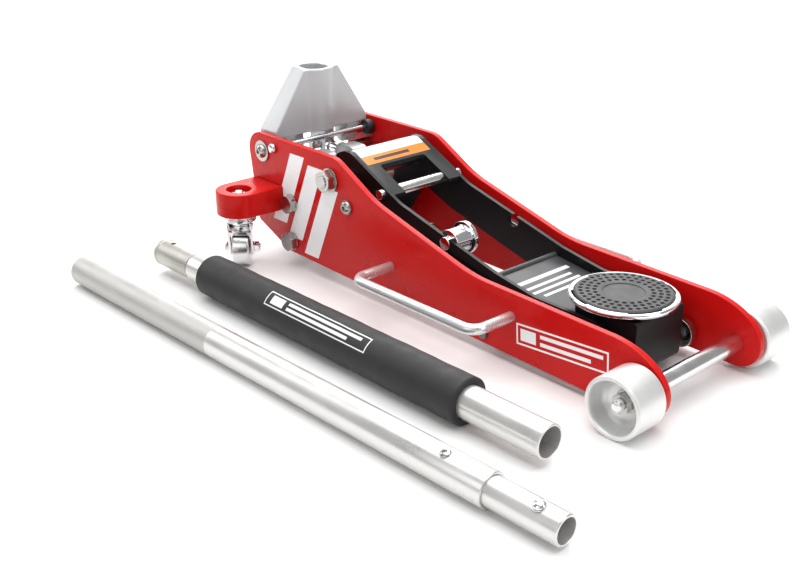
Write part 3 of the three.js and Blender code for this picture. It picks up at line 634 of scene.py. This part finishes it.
def plug_steel():
    """Dull machined steel of the lower section's plug."""
    f = Finish("dull_machined_steel", Metallic=0.85)
    cloud, rings = f.noise(50, 3), f.noise(500, 2, (1, 0.05, 0.05), -LOWER_YAW)
    f.paint(f.mix(rgb(0.42, 0.41, 0.37), rgb(0.56, 0.55, 0.51), cloud))
    f.gloss(rings.ramp(0.3, 0.7, 0.34, 0.52))
    f.bump(rings, 0.00004, 0.5)
    return f.material


def foam():
    """Black closed-cell foam with a plain white mark printed on the sleeve."""
    f = Finish("black_foam")
    x, y, z = f.millimetres()
    u, across = turned_by(LOWER_YAW, x - LOWER_MID[0], y - LOWER_MID[1])
    up = z - FOAM_R
    v = (up.math("ARCTAN2", across * -1.0, up) - math.radians(40)) * -FOAM_R
    inside = [(-79, -57, -5.5, 5.5), (-50, 76, 1.4, 5.2), (-50, 56, -5.2, -1.4)]
    proud = (across * across + up * up).above((FOAM_R - 1) ** 2)
    mark = framed_bars(u - 7, v, 88, 9.5, 1.5, inside) * proud
    cells = f.node("ShaderNodeTexVoronoi", None, {"Vector": f.place, "Scale": 900.0})
    cloud = f.noise(60, 4)
    colour = f.mix(rgb(0.010, 0.010, 0.011), rgb(0.022, 0.022, 0.024), cloud)
    f.paint(f.mix(colour, rgb(0.80, 0.80, 0.80), mark))
    f.gloss(cloud.ramp(0.3, 0.7, 0.52, 0.68))
    f.bump(Value(f, cells.outputs["Distance"]) * 0.6 + cloud * 0.8, 0.00018, 0.5)
    return f.material


RED, RED_PRINTED = red_powder_coat(False), red_powder_coat(True)
ARM_BLACK = black_coat("arm_black_coat", 0.26, 0.36, 500, printed=True)
BRACKET_BLACK = black_coat("bracket_black_coat", 0.36, 0.52, 260)
WEB_GREY, CAST, WHEEL, ZINC = web_grey(), cast_silver(), wheel_aluminium(), zinc_plate()
PLUG, FOAM = plug_steel(), foam()
TUBE_LOW = drawn_aluminium("drawn_tube_lower", LOWER_YAW)
TUBE_UP = drawn_aluminium("drawn_tube_upper", UPPER_YAW)
GRAB_SATIN = drawn_aluminium("drawn_bar_satin", 0.0, (0.76, 0.76, 0.76), (0.24, 0.36))
RUBBER, BUMPER_RUBBER = pad_rubber("pad_rubber", 1.0), pad_rubber("bumper_rubber", 0.3)
POWER = clouded("power_unit_silver", (0.42, 0.43, 0.44), (0.56, 0.57, 0.58), (30, 3), (0.3, 0.5),
                grain=(300, 3), depth=0.00015, metallic=0.6)
KNURL = clouded("knurled_aluminium", (0.46, 0.455, 0.44), (0.56, 0.55, 0.535), (28, 3),
                (0.40, 0.55), grain=(900, 2), depth=0.00008, metallic=0.6)
BAR, ROLLER = (clouded(name, (0.70, 0.70, 0.70), (0.82, 0.82, 0.82), (40, 3), (0.16, 0.26),
                       grain=(700, 2), depth=0.00001, strength=0.4)
               for name in ("bright_steel_bar", "bright_roller"))
DARK = clouded("dark_plated_steel", (0.11, 0.115, 0.12), (0.24, 0.245, 0.25), (80, 3), (0.24, 0.38),
               grain=(600, 2), depth=0.00003, strength=0.4)
CHROME = clouded("bright_chrome", (0.78, 0.79, 0.80), (0.86, 0.865, 0.87), (45, 4), (0.05, 0.12),
                 grain=(90, 2), depth=0.00003, strength=0.25, start=0.35)


# ---------------------------------------------------------------- frame
def side_plate(name, side):
    """Flat top over the power unit, a long slope down, and a round nose; rounded edges."""
    a = np.linspace(0, PI / 2, 40)
    crown = np.column_stack([-47 + 77 * np.sin(a), 35 + 47.5 * np.cos(a)])
    nose = arc(1.5, 35, 28.5, -0.17, -PI / 2, 24)
    corners = [(-578, 19.8, 20), (-646, 48, 9), (-666, 172, 25), (-478, 171, 40)]
    corners += [(-405, 131.5, 150), (-240, 87, 200)]
    corners += [(x, z, 0) for x, z in (*crown, *nose)]
    low, high = sorted((side * PLATE_IN, side * PLATE_OUT))
    body = along("y", slab(filleted(corners, 0.05), low, high, 1.1, 4))
    node = f"side_plate_{name}"
    piece(node + "_coated", body, RED_PRINTED, "frame", [node])


def caster_ear(name, side):
    """A D-shaped ear between an outer edge R(a) and the well round the caster's stem.

    R(a) is the ear's radius on its round side, and the nearer of its flat sides inward of it."""
    steps = 240
    a = circle(steps)
    root = CASTER_Y - PLATE_FACE
    inward = -np.sin(a)
    flats = EAR_R / np.maximum(np.abs(np.cos(a)), 1e-6), root / np.maximum(inward, 1e-6)
    outer = np.where(inward > 0, np.minimum(*flats), EAR_R)
    edges = rounded_edge(1.8, 5, EAR_BOTTOM) + rounded_edge(1.8, 5, EAR_TOP, -1)[::-1]
    rings = [(outer - inset, z) for inset, z in edges]
    rings += [(WELL_R + inset, z) for inset, z in rounded_edge(1.2, 4, EAR_TOP, -1)]
    hole = STEM_HOLE_R
    rings += [(WELL_R, WELL_FLOOR + 0.3), (WELL_R - 0.3, WELL_FLOOR), (hole + 0.2, WELL_FLOOR),
              (hole, WELL_FLOOR - 0.2), (hole, EAR_BOTTOM)]
    points, faces = ringed(rings, steps, loop=True)
    surface = moved((points * [1, side, 1], faces), CASTER_X, side * CASTER_Y)
    node = f"caster_ear_{name}"
    piece(node + "_coated", surface, RED, "frame", [node])


def front_wheel(name, side):
    """A solid roller with a deep conical dish in its outer face."""
    out, start, r = WHEEL_OUT, WHEEL_IN, WHEEL_R
    profile = [(7.5, start), (25, start), (26, start + 1), (32, start + 1), (r, start + 3),
               (r, out - 1.6), (r - 1.4, out), (r - 4.4, out), (r - 5.4, out - 2.0),
               (27.6, out - 10), (25.2, out - 18), (20, out - 23.5), (13, out - DISH),
               (7.5, out - DISH), (7.5, start)]
    body = across_jack(turned_soft(profile, 2.6, 160), 0, AXLE_Z, side)
    node = f"front_wheel_{name}"
    piece(node + "_turned", body, WHEEL, node, [node], sharp=50)


def front_axle():
    """Axle bar with shoulders inside the plates and threaded ends outside the wheels."""
    end, shoulder = 113, PLATE_IN - 0.3
    profile = [(0, -end), (7, -end), (7, -shoulder), (10, -shoulder)]
    profile += [(r, -y) for r, y in profile[::-1]]
    bar = across_jack(turned_soft(profile, 0.5), 0, AXLE_Z)
    surface = join(bar, both_ends(threads(6.5, 112, 131.4), 0, AXLE_Z))
    piece("front_axle_bar", surface, BAR, "frame", ["front_axle"])


def plated(node, surface, at, side, sharp=24):
    """A zinc-plated fastener of the frame, drawn along Z and laid across the jack at (x, z)."""
    surface = across_jack(surface, *at, side)
    piece(node + "_plated", surface, ZINC, "frame", [node], sharp)


def nut(node, at, side, start, washer_r, washer_h, across, height, bore):
    """A washer and a hexagon nut with a chamfered top on a bolt end across the jack."""
    low = start + GAP
    top = low + washer_h
    washer = [(bore, low), (washer_r, low), (washer_r, top), (bore, top), (bore, low)]
    plated(node, join(turned_soft(washer, 0.4), hex_block(across, top, low + height)), at, side)


def shank(r, start):
    """A bolt's plain bar, drawn along Z up to its head on the plate."""
    end = PLATE_OUT + 1
    return turned([(0, start), (r, start), (r, end), (0, end)], 48)


def stepped_shank():
    """The shank of a link's screw, thicker inside the plate than in it."""
    start, step, end = 64.7, PLATE_IN - 0.3, PLATE_OUT + 1
    return turned([(0, start), (7, start), (7, step), (5, step), (5, end), (0, end)], 48)


def hex_bolt(node, z, side):
    """Bolt head with a washer face and a chamfered hexagon."""
    r, top = 12.4, PLATE_OUT + 2.5
    collar = turned_soft([(0, PLATE_FACE), (r, PLATE_FACE), (r, top), (0, top)], 0.3)
    head = hex_block(23, top - 0.1, PLATE_OUT + 11, 1.5)
    plated(node, join(collar, head, shank(6, PLATE_IN - 18)), (BOLT_X, z), side)


def button_head(node, at, side, r, rise, collar_r, pin):
    """A domed head with a hexagon recess: its wall falls from the dome into six flats."""
    low, foot = PLATE_FACE, PLATE_FACE + 1.7
    rings = [(0, low), (collar_r, low), (collar_r, low + 1.6), (r, foot)]
    rings += dome(r, rise - 1.7, foot, np.linspace(0.05, 1.1, 10))
    plated(node, join(recessed(rings, 6, 2.4, 96), pin), at, side, sharp=30)


def grab_handle(name, side):
    """A bent bar: straight out of the plate, a round bend, along, and back."""
    x0, x1 = GRAB_X
    flat, root = GRAB_REACH - GRAB_BEND, PLATE_IN + 1.5
    route = np.concatenate([
        [(x0, root), (x0, 100)],
        arc(x0 + GRAB_BEND, flat, GRAB_BEND, PI, PI / 2, 20),
        arc(x1 - GRAB_BEND, flat, GRAB_BEND, PI / 2, 0, 20),
        [(x1, 100), (x1, root)],
    ])
    path = np.column_stack([route[:, 0], side * route[:, 1], np.full(len(route), GRAB_Z)])
    node = f"grab_handle_{name}"
    bar = swept(path, GRAB_R, 40)
    piece(node + "_bar", bar, GRAB_SATIN, "frame", [node], sharp=40)


def pins():
    """The arm's pivot shaft, the stop bar and the lower tie bolt, each right across the jack."""
    end = 105
    shaft = [(0, -end), (7.2, -end), (8, 1 - end), (8, end - 1), (7.2, end), (0, end)]
    piece("arm_pivot_shaft_turned", across_jack(turned(shaft), *ARM_PIVOT), ZINC, "frame",
          ["arm_pivot_shaft"])
    low, end = PLATE_FACE, PLATE_OUT + 1
    head = [(0, low), (6.8, low), (6.8, end + 1.6), (5.6, end + 4), (2.6, end + 5), (0, end + 5)]
    bar = join(rod(*STOP_ROD, 3.9, -end, end), both_ends(turned_soft(head, 0.8), *STOP_ROD))
    piece("stop_bar_bright", bar, BAR, "frame", ["stop_bar"])
    head = [(0, low), (7, low), (6.4, end + 2), (3.5, end + 3), (0, end + 3)]
    inside = PLATE_IN - 0.4
    bolt = join(rod(*TIE, 6, -inside, inside), rod(*TIE, 4, -end, end),
                both_ends(turned_soft(head, 0.5), *TIE))
    piece("lower_tie_bolt_plated", bolt, DARK, "frame", ["lower_tie_bolt"])


for side_name, s in SIDES:
    side_plate(side_name, s)
    caster_ear(side_name, s)
    front_wheel(side_name, s)
    grab_handle(side_name, s)
    nut(f"axle_nut_{side_name}", (0, AXLE_Z), s, WHEEL_OUT - DISH, 12.5, 2.2, 19, 12, 6.8)
    nut(f"arm_pivot_nut_{side_name}", ARM_PIVOT, s, PLATE_OUT, 15.4, 2.1, 25, 13, 8.3)
    for level, height in zip(("lower", "upper"), BOLT_Z):
        hex_bolt(f"hex_bolt_{side_name}_{level}", height, s)
    button_head(f"socket_pivot_bolt_{side_name}", SOCKET, s, 9.4, 8.2, 14.2, shank(6, 45))
    button_head(f"link_pivot_screw_{side_name}", LINK_REAR, s, 9.0, 7.0, 9.4, stepped_shank())
    piece(f"bumper_{side_name}_moulded", rod(*STOP_ROD, 10.2, s * 69, s * (PLATE_IN - GAP), 1.8),
          BUMPER_RUBBER, "frame", [f"bumper_{side_name}"])
    piece(f"spacer_{side_name}_turned", rod(*SPACER, 7.5, s * 47, s * (PLATE_IN - GAP), 0.6),
          ZINC, "frame", [f"spacer_{side_name}"])
front_axle()
pins()
dressed("power_unit", POWER, "frame", 1.2)


# ---------------------------------------------------------------- arm, bracket, saddle
def return_spring():
    """A helix whose radius closes in at both ends, and the straight hook to its anchor."""
    turns, start, end, z0, y0 = 10, -462, -352, 92, -38
    t = np.linspace(0, 1, 560)
    a = 2 * PI * turns * t
    r = 11.5 * (0.25 + 0.75 * np.minimum(1, np.minimum(12 * t, 12 * (1 - t))))
    coil = np.column_stack([start + (end - start) * t, y0 + r * np.cos(a), z0 + r * np.sin(a)])
    hook = np.linspace((end - 4, y0, z0), (ANCHOR[0] - 21.5, y0, z0 + 3), 12)
    wire = join(swept(coil, 1.9, 12), swept(hook, 2.4, 16))
    piece("return_spring_wire", wire, DARK, "arm", ["return_spring"], sharp=60)


def saddle_cup():
    """A turned cup; its rim's inner radius steps in over four lands of a sixth of a turn each."""
    steps, low = 360, 68
    land = (np.abs((circle(steps) + 0.5) % (PI / 2) - PI / 4) < 0.42).astype(float)
    rim = 57.7 - 2.6 * land
    rings = [(0, low), (14, low), (14, 78.35), (44, 78.4), (52, 78.8), (56.5, 79.6), (59, 80.9),
             (60.3, 82.6), (SADDLE_R, 84.4), (60.7, 85.9), (60.0, 86.9), (58.8, SADDLE_TOP),
             (rim, SADDLE_TOP), (rim - 0.5, SADDLE_TOP - 0.5), (rim - 0.6, SADDLE_FLOOR),
             (0, SADDLE_FLOOR)]
    surface = moved(ringed(rings, steps), SADDLE_X)
    piece("saddle_cup_chromed", surface, CHROME, "saddle", ["saddle_cup"], sharp=38)


def saddle_pad():
    """A disc whose top dips in three staggered rings of round dimples about a plain middle.

    Height = top - depth times a smooth step of the distance to the nearest dimple."""
    steps, edge = 720, 54.6
    radii = [0, 12, 22.4, 23.0, 23.4, 24.0, 25.0, 26.5, *np.linspace(27.5, 51.4, 62),
             52.4, 53.4, 54.2, edge]
    r, angle = np.meshgrid(radii, circle(steps), indexing="ij")
    height = np.full_like(r, PAD_TOP)
    height -= 1.2 * np.clip((23.6 - r) / 0.5, 0, 1)
    height -= 0.7 * np.exp(-((r - 24.4) / 0.5) ** 2)
    for ring, (at, number) in enumerate(((32.0, 24), (39.6, 30), (47.4, 36))):
        pitch = 2 * PI / number
        shift = 0.5 * pitch * (ring % 2)
        near = ((angle + shift) % pitch - pitch / 2) * at
        height -= 2.0 * np.clip((2.55 - np.hypot(near, r - at)) / 0.5, 0, 1)
    height -= np.maximum(r - 52.5, 0) * 0.75
    rings = [*zip(radii, height), (edge, SADDLE_FLOOR + GAP), (0, SADDLE_FLOOR + GAP)]
    surface = moved(ringed(rings, steps), SADDLE_X)
    piece("saddle_pad_moulded", surface, RUBBER, "saddle", ["saddle_pad"], sharp=40)


def web_plate():
    """Sloping sheet with a rolled rear edge."""
    outline = [(-239.5, 70.2), (-136, 56), (-135.4, 60.5), (-239.5, 75)]
    sheet = along("y", slab(outline, -ARM_INNER, ARM_INNER, 0.5))
    roll = rod(-239, 74, 4.2, -ARM_INNER, ARM_INNER)
    piece("arm_web_plate_sheet", join(sheet, roll), WEB_GREY, "arm", ["arm_web_plate"])


def arm_bars():
    """The bars and pins that go across the arm and the bracket."""
    ends = (rod(*CROSS_BAR, 6, side * 50, side * 69) for side in (-1, 1))
    bar = join(rod(*CROSS_BAR, 7, -ARM_INNER, ARM_INNER), *ends)
    piece("arm_cross_bar_bright", bar, BAR, "arm", ["arm_cross_bar"])
    flange, end = 32, ARM_OUT + 1.8
    anchor = [(0, 26), (20, 26), (20, flange), (15.5, flange), (15.5, ARM_INNER), (8, ARM_INNER),
              (8, end), (0, end)]
    anchor = across_jack(turned_soft(anchor, 1.0), *ANCHOR, -1)
    piece("spring_anchor_chromed", anchor, CHROME, "arm", ["spring_anchor"])
    saddle_pin, ram_pin = rod(*SADDLE_PIVOT, 8, -63.8, 63.8), rod(*RAM_PIN, 9, -63.6, 63.6)
    for node, surface in (("saddle_pivot_pin", saddle_pin), ("ram_pin", ram_pin)):
        piece(node + "_turned", surface, ZINC, "arm", [node])
    collars = (rod(*LINK_FRONT, 15, side * 75, side * 76.6) for side in (-1, 1))
    heads = both_ends(hex_block(17, 76.4, 80.6, 1.2), *LINK_FRONT)
    piece("link_pin_turned", join(rod(*LINK_FRONT, 7, -77, 77), *collars, heads), ZINC, "bracket",
          ["link_pin"])


dressed("lift_arm", ARM_BLACK, "arm", 1.0, 3)
dressed("saddle_bracket", BRACKET_BLACK, "bracket", 1.6, 3)
arm_bars()
return_spring()
web_plate()
saddle_cup()
saddle_pad()
for side_name, s in SIDES:
    dressed(f"levelling_link_{side_name}", ZINC, "links", 0.8)
    dressed(f"pump_plunger_{side_name}", CHROME, f"plunger_{side_name}", 0.4)
dressed("ram", CHROME, "ram", 0.8)
dressed("release_joint", CHROME, "release", 0.5)


# ---------------------------------------------------------------- handle socket
def socket_section(height, inset):
    """Outline of the casting at a height, moved in by inset: flat faces 36 apart that swell
    smoothly over the tube, between sides that lean in from z = 174 to the top."""
    lean = np.clip((height - 174) / (SOCKET_TOP - 174), 0, 1)
    parts = []
    for face, top_half in ((1, 29.0), (-1, 22.0)):
        half = 79.4 - (79.4 - top_half) * lean - inset
        near = half - np.array([0, 0.1, 0.3, 0.7, 1.2, 1.8])
        y = np.concatenate([-near, np.linspace(3 - half, half - 3, 61), near[::-1]])
        tube, flat = np.sqrt(np.clip((27.5 - inset) ** 2 - y**2, 0, None)), 18.0 - inset
        depth = (tube + flat + np.sqrt((tube - flat) ** 2 + 3.0)) / 2
        corner = np.clip((np.abs(y) - half + 1.8) / 1.8, 0, 1)
        depth -= 1.8 * (1 - np.sqrt(1 - corner**2))
        parts.append(face * np.column_stack([depth, y]))
    return np.concatenate(parts)


def handle_socket():
    """Sections stacked up to the top, then rings round the rim and down the bore."""
    x, z = SOCKET
    levels = rounded_edge(1.2, 5, SOCKET_LOW)
    levels += [(0.0, h) for h in (168, 171, 173, 174, 175.5, *np.linspace(178, 247, 24))]
    levels += rounded_edge(2, 5, SOCKET_TOP, -1)[::-1]
    sections = [(socket_section(h, inset), h) for inset, h in levels]
    rim = sections[-1][0]
    way = rim / np.linalg.norm(rim, axis=1)[:, None]
    sections += [(way * r, h) for r, h in ((21.6, SOCKET_TOP), (20.4, 249.6), (BORE_R, 248.6),
                                           (BORE_R, 166), (BORE_R + 0.6, SOCKET_LOW))]
    rings = [np.column_stack([points, np.full(len(points), h)]) for points, h in sections]
    casting = moved((np.concatenate(rings), quads(len(rings), len(way), True)), x)
    leg = link_outline((x, 166, 17), (x, z, 12.5))
    lug = link_outline((x - 9, 170, 8.5), (x - 9, z - 16, 8))
    feet = []
    for side in (-1, 1):
        feet.append(along("y", slab(leg, *sorted((side * 46.4, side * 66)), 1.2)))
        feet.append(along("y", slab(lug, side * 27 - 8, side * 27 + 8, 1.0)))
    piece("handle_socket_cast", join(casting, *feet), CAST, "socket", ["handle_socket"],
          sharp=34)


handle_socket()


# ---------------------------------------------------------------- casters
def caster(name, side):
    """Chromed fork with a double race, its roller, and the axle with a nut at each end."""
    def put(surface):
        return moved(spun(surface, CASTER_YAW), CASTER_X, side * CASTER_Y)

    trail, r, body = CASTER_TRAIL, CASTER_R, f"caster_{name}"
    race = turned_soft([(0, 56), (9, 56), (13, 60), (17.5, 62.5), (21, 66.4), (21, 70),
                        (19.4, 70.6), (19.4, 71.6), (21, 72.2), (21, 74.6), (20, 75.6),
                        (8, 75.6), (8, STEM_NUT), (0, STEM_NUT)], 0.8)
    stem = join(hex_block(17, STEM_NUT, STEM_NUT + 8, 1.4),
                threads(5.8, STEM_NUT + 7.5, STEM_NUT + 10, 1.2, 0.4))
    leg = filleted([(-16, 66, 3), (trail - 11, 15, 9.5), (trail + 11, 15, 9.5), (18, 66, 3)])
    legs = [along("y", slab(leg, *sorted((k * 13.3, k * 16.6)), 0.9)) for k in (-1, 1)]
    outer, inner = (arc(trail, r, reach, 0.9, PI - 0.9, 24) for reach in (36, 28))
    hood = along("y", slab(np.concatenate([outer, inner[::-1]]), -15, 15, 0.8))
    node = f"caster_fork_{name}"
    fork = put(join(race, stem, *legs, hood))
    piece(node + "_chromed", fork, CHROME, body, [node], sharp=30)
    half = [(5.4, 12.4), (12, 12.4), (13, 11.4), (21, 11.4), (r - 0.8, 10.8), (r, 9)]
    roller = [(q, -y) for q, y in half] + half[::-1] + [(5.4, -12.4)]
    wheel = moved(along("y", turned_soft(roller, 1.4, 128)), trail, 0, r)
    node = f"caster_wheel_{name}"
    piece(node + "_turned", put(wheel), ROLLER, node, [node], sharp=50)
    bar = turned([(0, -18), (5, -18), (5, 18), (0, 18)], 48)
    nuts, stud = both_ends(hex_block(13, 16.95, 23, 1.2), trail, r), threads(5, 20, 25, 1.0, 0.4)
    axle = join(nuts, across_jack(stud, trail, r, -1), across_jack(bar, trail, r))
    node = f"caster_axle_{name}"
    piece(node + "_plated", put(axle), CHROME, body, [node], sharp=24)


for side_name, s in SIDES:
    caster(side_name, s)


# ---------------------------------------------------------------- handle sections
def laid(surface, middle, height, yaw):
    """A handle piece drawn along X, laid on the floor about its middle."""
    return moved(spun(surface, yaw), *middle, height)


def lower(surface):
    """A piece of the lower section, which rests on its foam sleeve."""
    return laid(surface, LOWER_MID, FOAM_R, LOWER_YAW)


def upper(surface):
    """A piece of the upper section, which rests on its tube."""
    return laid(surface, UPPER_MID, TUBE_R, UPPER_YAW)


def foam_sleeve():
    """A thick sleeve: its radius swells and sinks slowly, and its ends are cut a little soft."""
    low, high = FOAM_ENDS
    u = np.linspace(low, high, 240)
    wobble = 0.16 * np.sin(u / 17.0) + 0.12 * np.sin(u / 6.3 + 1.0)
    edge = np.minimum(u - low, high - u)
    soft = 2.4 * (1 - np.sqrt(np.clip(1 - (1 - np.clip(edge / 2.4, 0, 1)) ** 2, 0, 1)))
    outer = list(zip(FOAM_R - 0.2 + wobble * np.clip(edge / 12, 0, 1) - soft, u))
    wall, mouth = TUBE_R + GAP, TUBE_R + 0.9
    inner = [(mouth, high - 0.4), (wall, high - 1.6), (wall, low + 1.6), (mouth, low + 0.4)]
    surface = lower(along("x", turned([*outer, *inner, outer[0]], 128)))
    sleeve = piece("handle_foam_sleeve_soft", surface, FOAM, "lower_section",
                   ["handle_foam_sleeve"], sharp=50)


def lower_section():
    """The lower tube, and its plug with a ringed end and a neck inside the tube."""
    low, high = LOWER_ENDS
    r = TUBE_R
    wall = r - 2.5
    profile = [(wall, low), (r - 0.6, low), (r, low + 0.8), (r, high - 0.9), (r - 0.9, high),
               (wall, high), (wall, low)]
    tube = lower(along("x", turned_soft(profile, 0.5, 128)))
    piece("handle_lower_tube_drawn", tube, TUBE_LOW, "lower_section", ["handle_lower_tube"],
          sharp=40)
    start, shoulder = PLUG_START, low - 2
    neck, bore, end = wall - GAP, r - 5.5, shoulder + 52
    profile = [(bore, start), (r - 1.6, start), (r - 0.4, start + 1.2), (r - 0.4, start + 5),
               (r - 1.3, start + 5.8), (r - 1.3, start + 8), (r - 0.7, start + 8.6),
               (r - 0.7, shoulder), (neck, shoulder + 0.4), (neck, end), (bore, end), (bore, start)]
    surface = lower(along("x", turned_soft(profile, 0.4, 128)))
    plug = piece("handle_lower_plug_machined", surface, PLUG, "lower_section",
                 ["handle_lower_insert"])
    drilled(plug)


def drilled(plug):
    """A cross hole through the upper wall of the plug, cut by a short round bar."""
    r, low, high = 3.4, 8, 30
    cutter = moved(turned([(0, low), (r, low), (r, high), (0, high)], 48), CROSS_HOLE_X)
    tool = set_out("drill", clean_mesh("drill", lower(cutter)))
    cut = plug.modifiers.new("cross hole", "BOOLEAN")
    cut.operation, cut.object, cut.solver = "DIFFERENCE", tool, "EXACT"
    bpy.context.view_layer.update()
    graph = bpy.context.evaluated_depsgraph_get()
    plug.data = bpy.data.meshes.new_from_object(plug.evaluated_get(graph))
    plug.modifiers.clear()
    bpy.data.objects.remove(tool)
    shaded(plug, 30)


def upper_tube():
    """A tube with a closed rounded end; over the grip, its radius falls by a diamond knurl.

    Knurl depth = 0.32 times a ridge of the greater of two triangle waves that cross."""
    low, high = UPPER_ENDS
    r, steps, teeth = TUBE_R, 172, 43
    nose = [(0, low), (r - 4, low), (r - 2.4, low + 0.6), (r - 1.3, low + 1.5),
            (r - 0.5, low + 2.8), (r, low + 4.5)]
    grip = [(r, u) for u in np.linspace(low + 5.5, GRIP_END, 480)]
    plain = [(r, u) for u in (GRIP_END + 1.5, 0, 150, high - 1)]
    tail = [(r - 0.4, high - 0.3), (r - 1, high)]
    inside = [(r - 2.6, high), (r - 2.6, low + 4), (0, low + 4)]
    pitch = 2 * PI * r / teeth
    v = circle(steps) * teeth / (2 * PI)
    rings = []
    for radius, u in nose + grip + plain + tail:
        waves = [np.abs((u * 0.5 / pitch + k * v) % 1 * 2 - 1) for k in (-1, 1)]
        on = np.clip(min(u - (low + 5), GRIP_END - u) / 1.5, 0, 1)
        rings.append((radius - 0.32 * on * np.clip(np.maximum(*waves) * 1.6 - 0.6, 0, 1), u))
    surface = upper(along("x", ringed(rings + inside, steps)))
    tube = piece("handle_upper_tube_drawn", surface, TUBE_UP, "upper_section",
                 ["handle_upper_tube"], sharp=46)
    tube.data.materials.append(KNURL)
    middle = ORIGIN[0] / MM + UPPER_MID[0]
    centre = np.array([p.center.x for p in tube.data.polygons]) / MM - middle
    tube.data.polygons.foreach_set("material_index", (centre < GRIP_END).astype(np.int32))


def upper_section():
    """The upper tube and its plug, with the snap button, its collar and the rivet."""
    upper_tube()
    start, end = 200, UPPER_PLUG_END
    outer = TUBE_R - 2.6 - GAP
    bore = outer - 3
    profile = [(bore, start), (outer, start), (outer, end - 1.2), (outer - 1.2, end), (bore, end),
               (bore, start)]
    plug = upper(along("x", turned_soft(profile, 0.6, 128)))
    piece("handle_upper_plug_drawn", plug, TUBE_UP, "upper_section", ["handle_upper_insert"],
          sharp=40)

    def on_top(surface, x):
        return upper(spun(moved(surface, x), PLUG_ROLL, "x"))

    top = dome(6.2, 3.9, 16.4, np.linspace(0, PI / 2, 14))
    button = turned([(0, 4), (8, 4), (8, 7), (6.2, 7.6), *top], 64)
    piece("handle_snap_button_domed", on_top(button, BUTTON_X), CHROME, "snap_button",
          ["handle_snap_button"], sharp=50)
    bore, r, low, high = 6.2 + 0.15, 7.4, 15.2, 15.9
    collar = turned_soft([(bore, low), (r, low), (r, high), (bore, high), (bore, low)], 0.2, 64)
    piece("handle_button_collar", on_top(collar, BUTTON_X), ZINC, "upper_section", ())
    rings = [(0, 8.5), (2, 8.5), (2, 16), (3.5, 16.6), (3.5, 18.6), (5.6, 18.6)]
    rings += dome(5.8, 2.7, 18.9, np.linspace(0, 1.15, 10))
    piece("handle_tube_rivet_domed", on_top(recessed(rings, 4.4, 1.6, 72), RIVET_X), ZINC,
          "upper_section", ["handle_tube_rivet"], sharp=30)


foam_sleeve()
lower_section()
upper_section()


# ---------------------------------------------------------------- stage, light and camera
def screen(name, corners, material):
    """One flat face of the surroundings."""
    mesh = bpy.data.meshes.new(name)
    mesh.from_pydata(corners, [], [(0, 1, 2, 3)])
    mesh.materials.append(material)
    set_out(name, mesh)


def stage():
    """A wide pale floor and a white backdrop far behind; places are in metres."""
    f = Finish("pale_floor", Roughness=0.55)
    f.shader.inputs["Specular IOR Level"].default_value = 0.25
    f.paint(f.mix(rgb(0.86, 0.86, 0.86), rgb(0.88, 0.875, 0.87), f.noise(3, 2)))
    h = 12.0
    screen("floor", [(-h, -h, 0), (h, -h, 0), (h, h, 0), (-h, h, 0)], f.material)
    f = Finish("white_backdrop", Emission_Strength=0.65)
    glow = f.mix(rgb(1, 1, 1), rgb(0.97, 0.97, 0.98), f.noise(2, 2))
    f.feed(f.shader.inputs["Emission Color"], glow)
    left, right, low, top = (-7.5, 0.5), (0.5, 6.5), -0.01, 4
    screen("backdrop", [(*left, low), (*right, low), (*right, top), (*left, top)], f.material)


def softbox(name, place, target, width, height, power):
    """A rectangular area light that faces its target."""
    light = bpy.data.lights.new(name, "AREA")
    light.shape = "RECTANGLE"
    light.size, light.size_y, light.energy = width, height, power
    lamp = set_out(name, light)
    lamp.location = place
    lamp.rotation_euler = (Vector(target) - Vector(place)).to_track_quat("-Z", "Y").to_euler()


def camera():
    """Azimuth 47.46 degrees, 23.23 above the level, as far off as a 50 mm lens needs."""
    az, el, roll = math.radians(47.46), math.radians(23.23), math.radians(0.14)
    back = Vector((math.sin(az) * math.cos(el), -math.cos(az) * math.cos(el), math.sin(el)))
    level = Vector((math.cos(az), math.sin(az), 0))
    right = level * math.cos(roll) + back.cross(level) * math.sin(roll)
    data = bpy.data.cameras.new("camera")
    data.lens, data.sensor_width = 50.39, 36.0
    cam = set_out("camera", data)
    turn = Matrix((right, back.cross(right), back)).transposed()
    eye = Vector((0.5645, -0.9359, 0.5730)) + Vector(ORIGIN)
    cam.matrix_world = Matrix.Translation(eye) @ turn.to_4x4()
    bpy.context.scene.camera = cam


def world_light():
    """Even white light from all round, and colours shown as they are."""
    world = bpy.data.worlds.new("studio")
    bpy.context.scene.world = world
    world.use_nodes = True
    background = world.node_tree.nodes["Background"]
    background.inputs["Color"].default_value = rgb(1, 1, 1)
    background.inputs["Strength"].default_value = 0.34
    bpy.context.scene.view_settings.view_transform = "Standard"


stage()
softbox("overhead", (0.0, 0.2, 2.5), (0, 0.1, 0), 3.2, 3.0, 92)
softbox("far", (-2.6, 2.6, 2.6), (-2.2, 2.2, 0), 3.0, 3.0, 90)
softbox("left", (-2.3, -0.9, 1.3), (0, 0, 0.1), 1.2, 1.6, 14)
softbox("right", (2.3, 0.6, 1.2), (0, 0, 0.1), 1.0, 1.6, 12)
softbox("front", (0.6, -2.6, 1.4), (0, 0, 0.1), 2.4, 1.4, 14)
world_light()
camera()
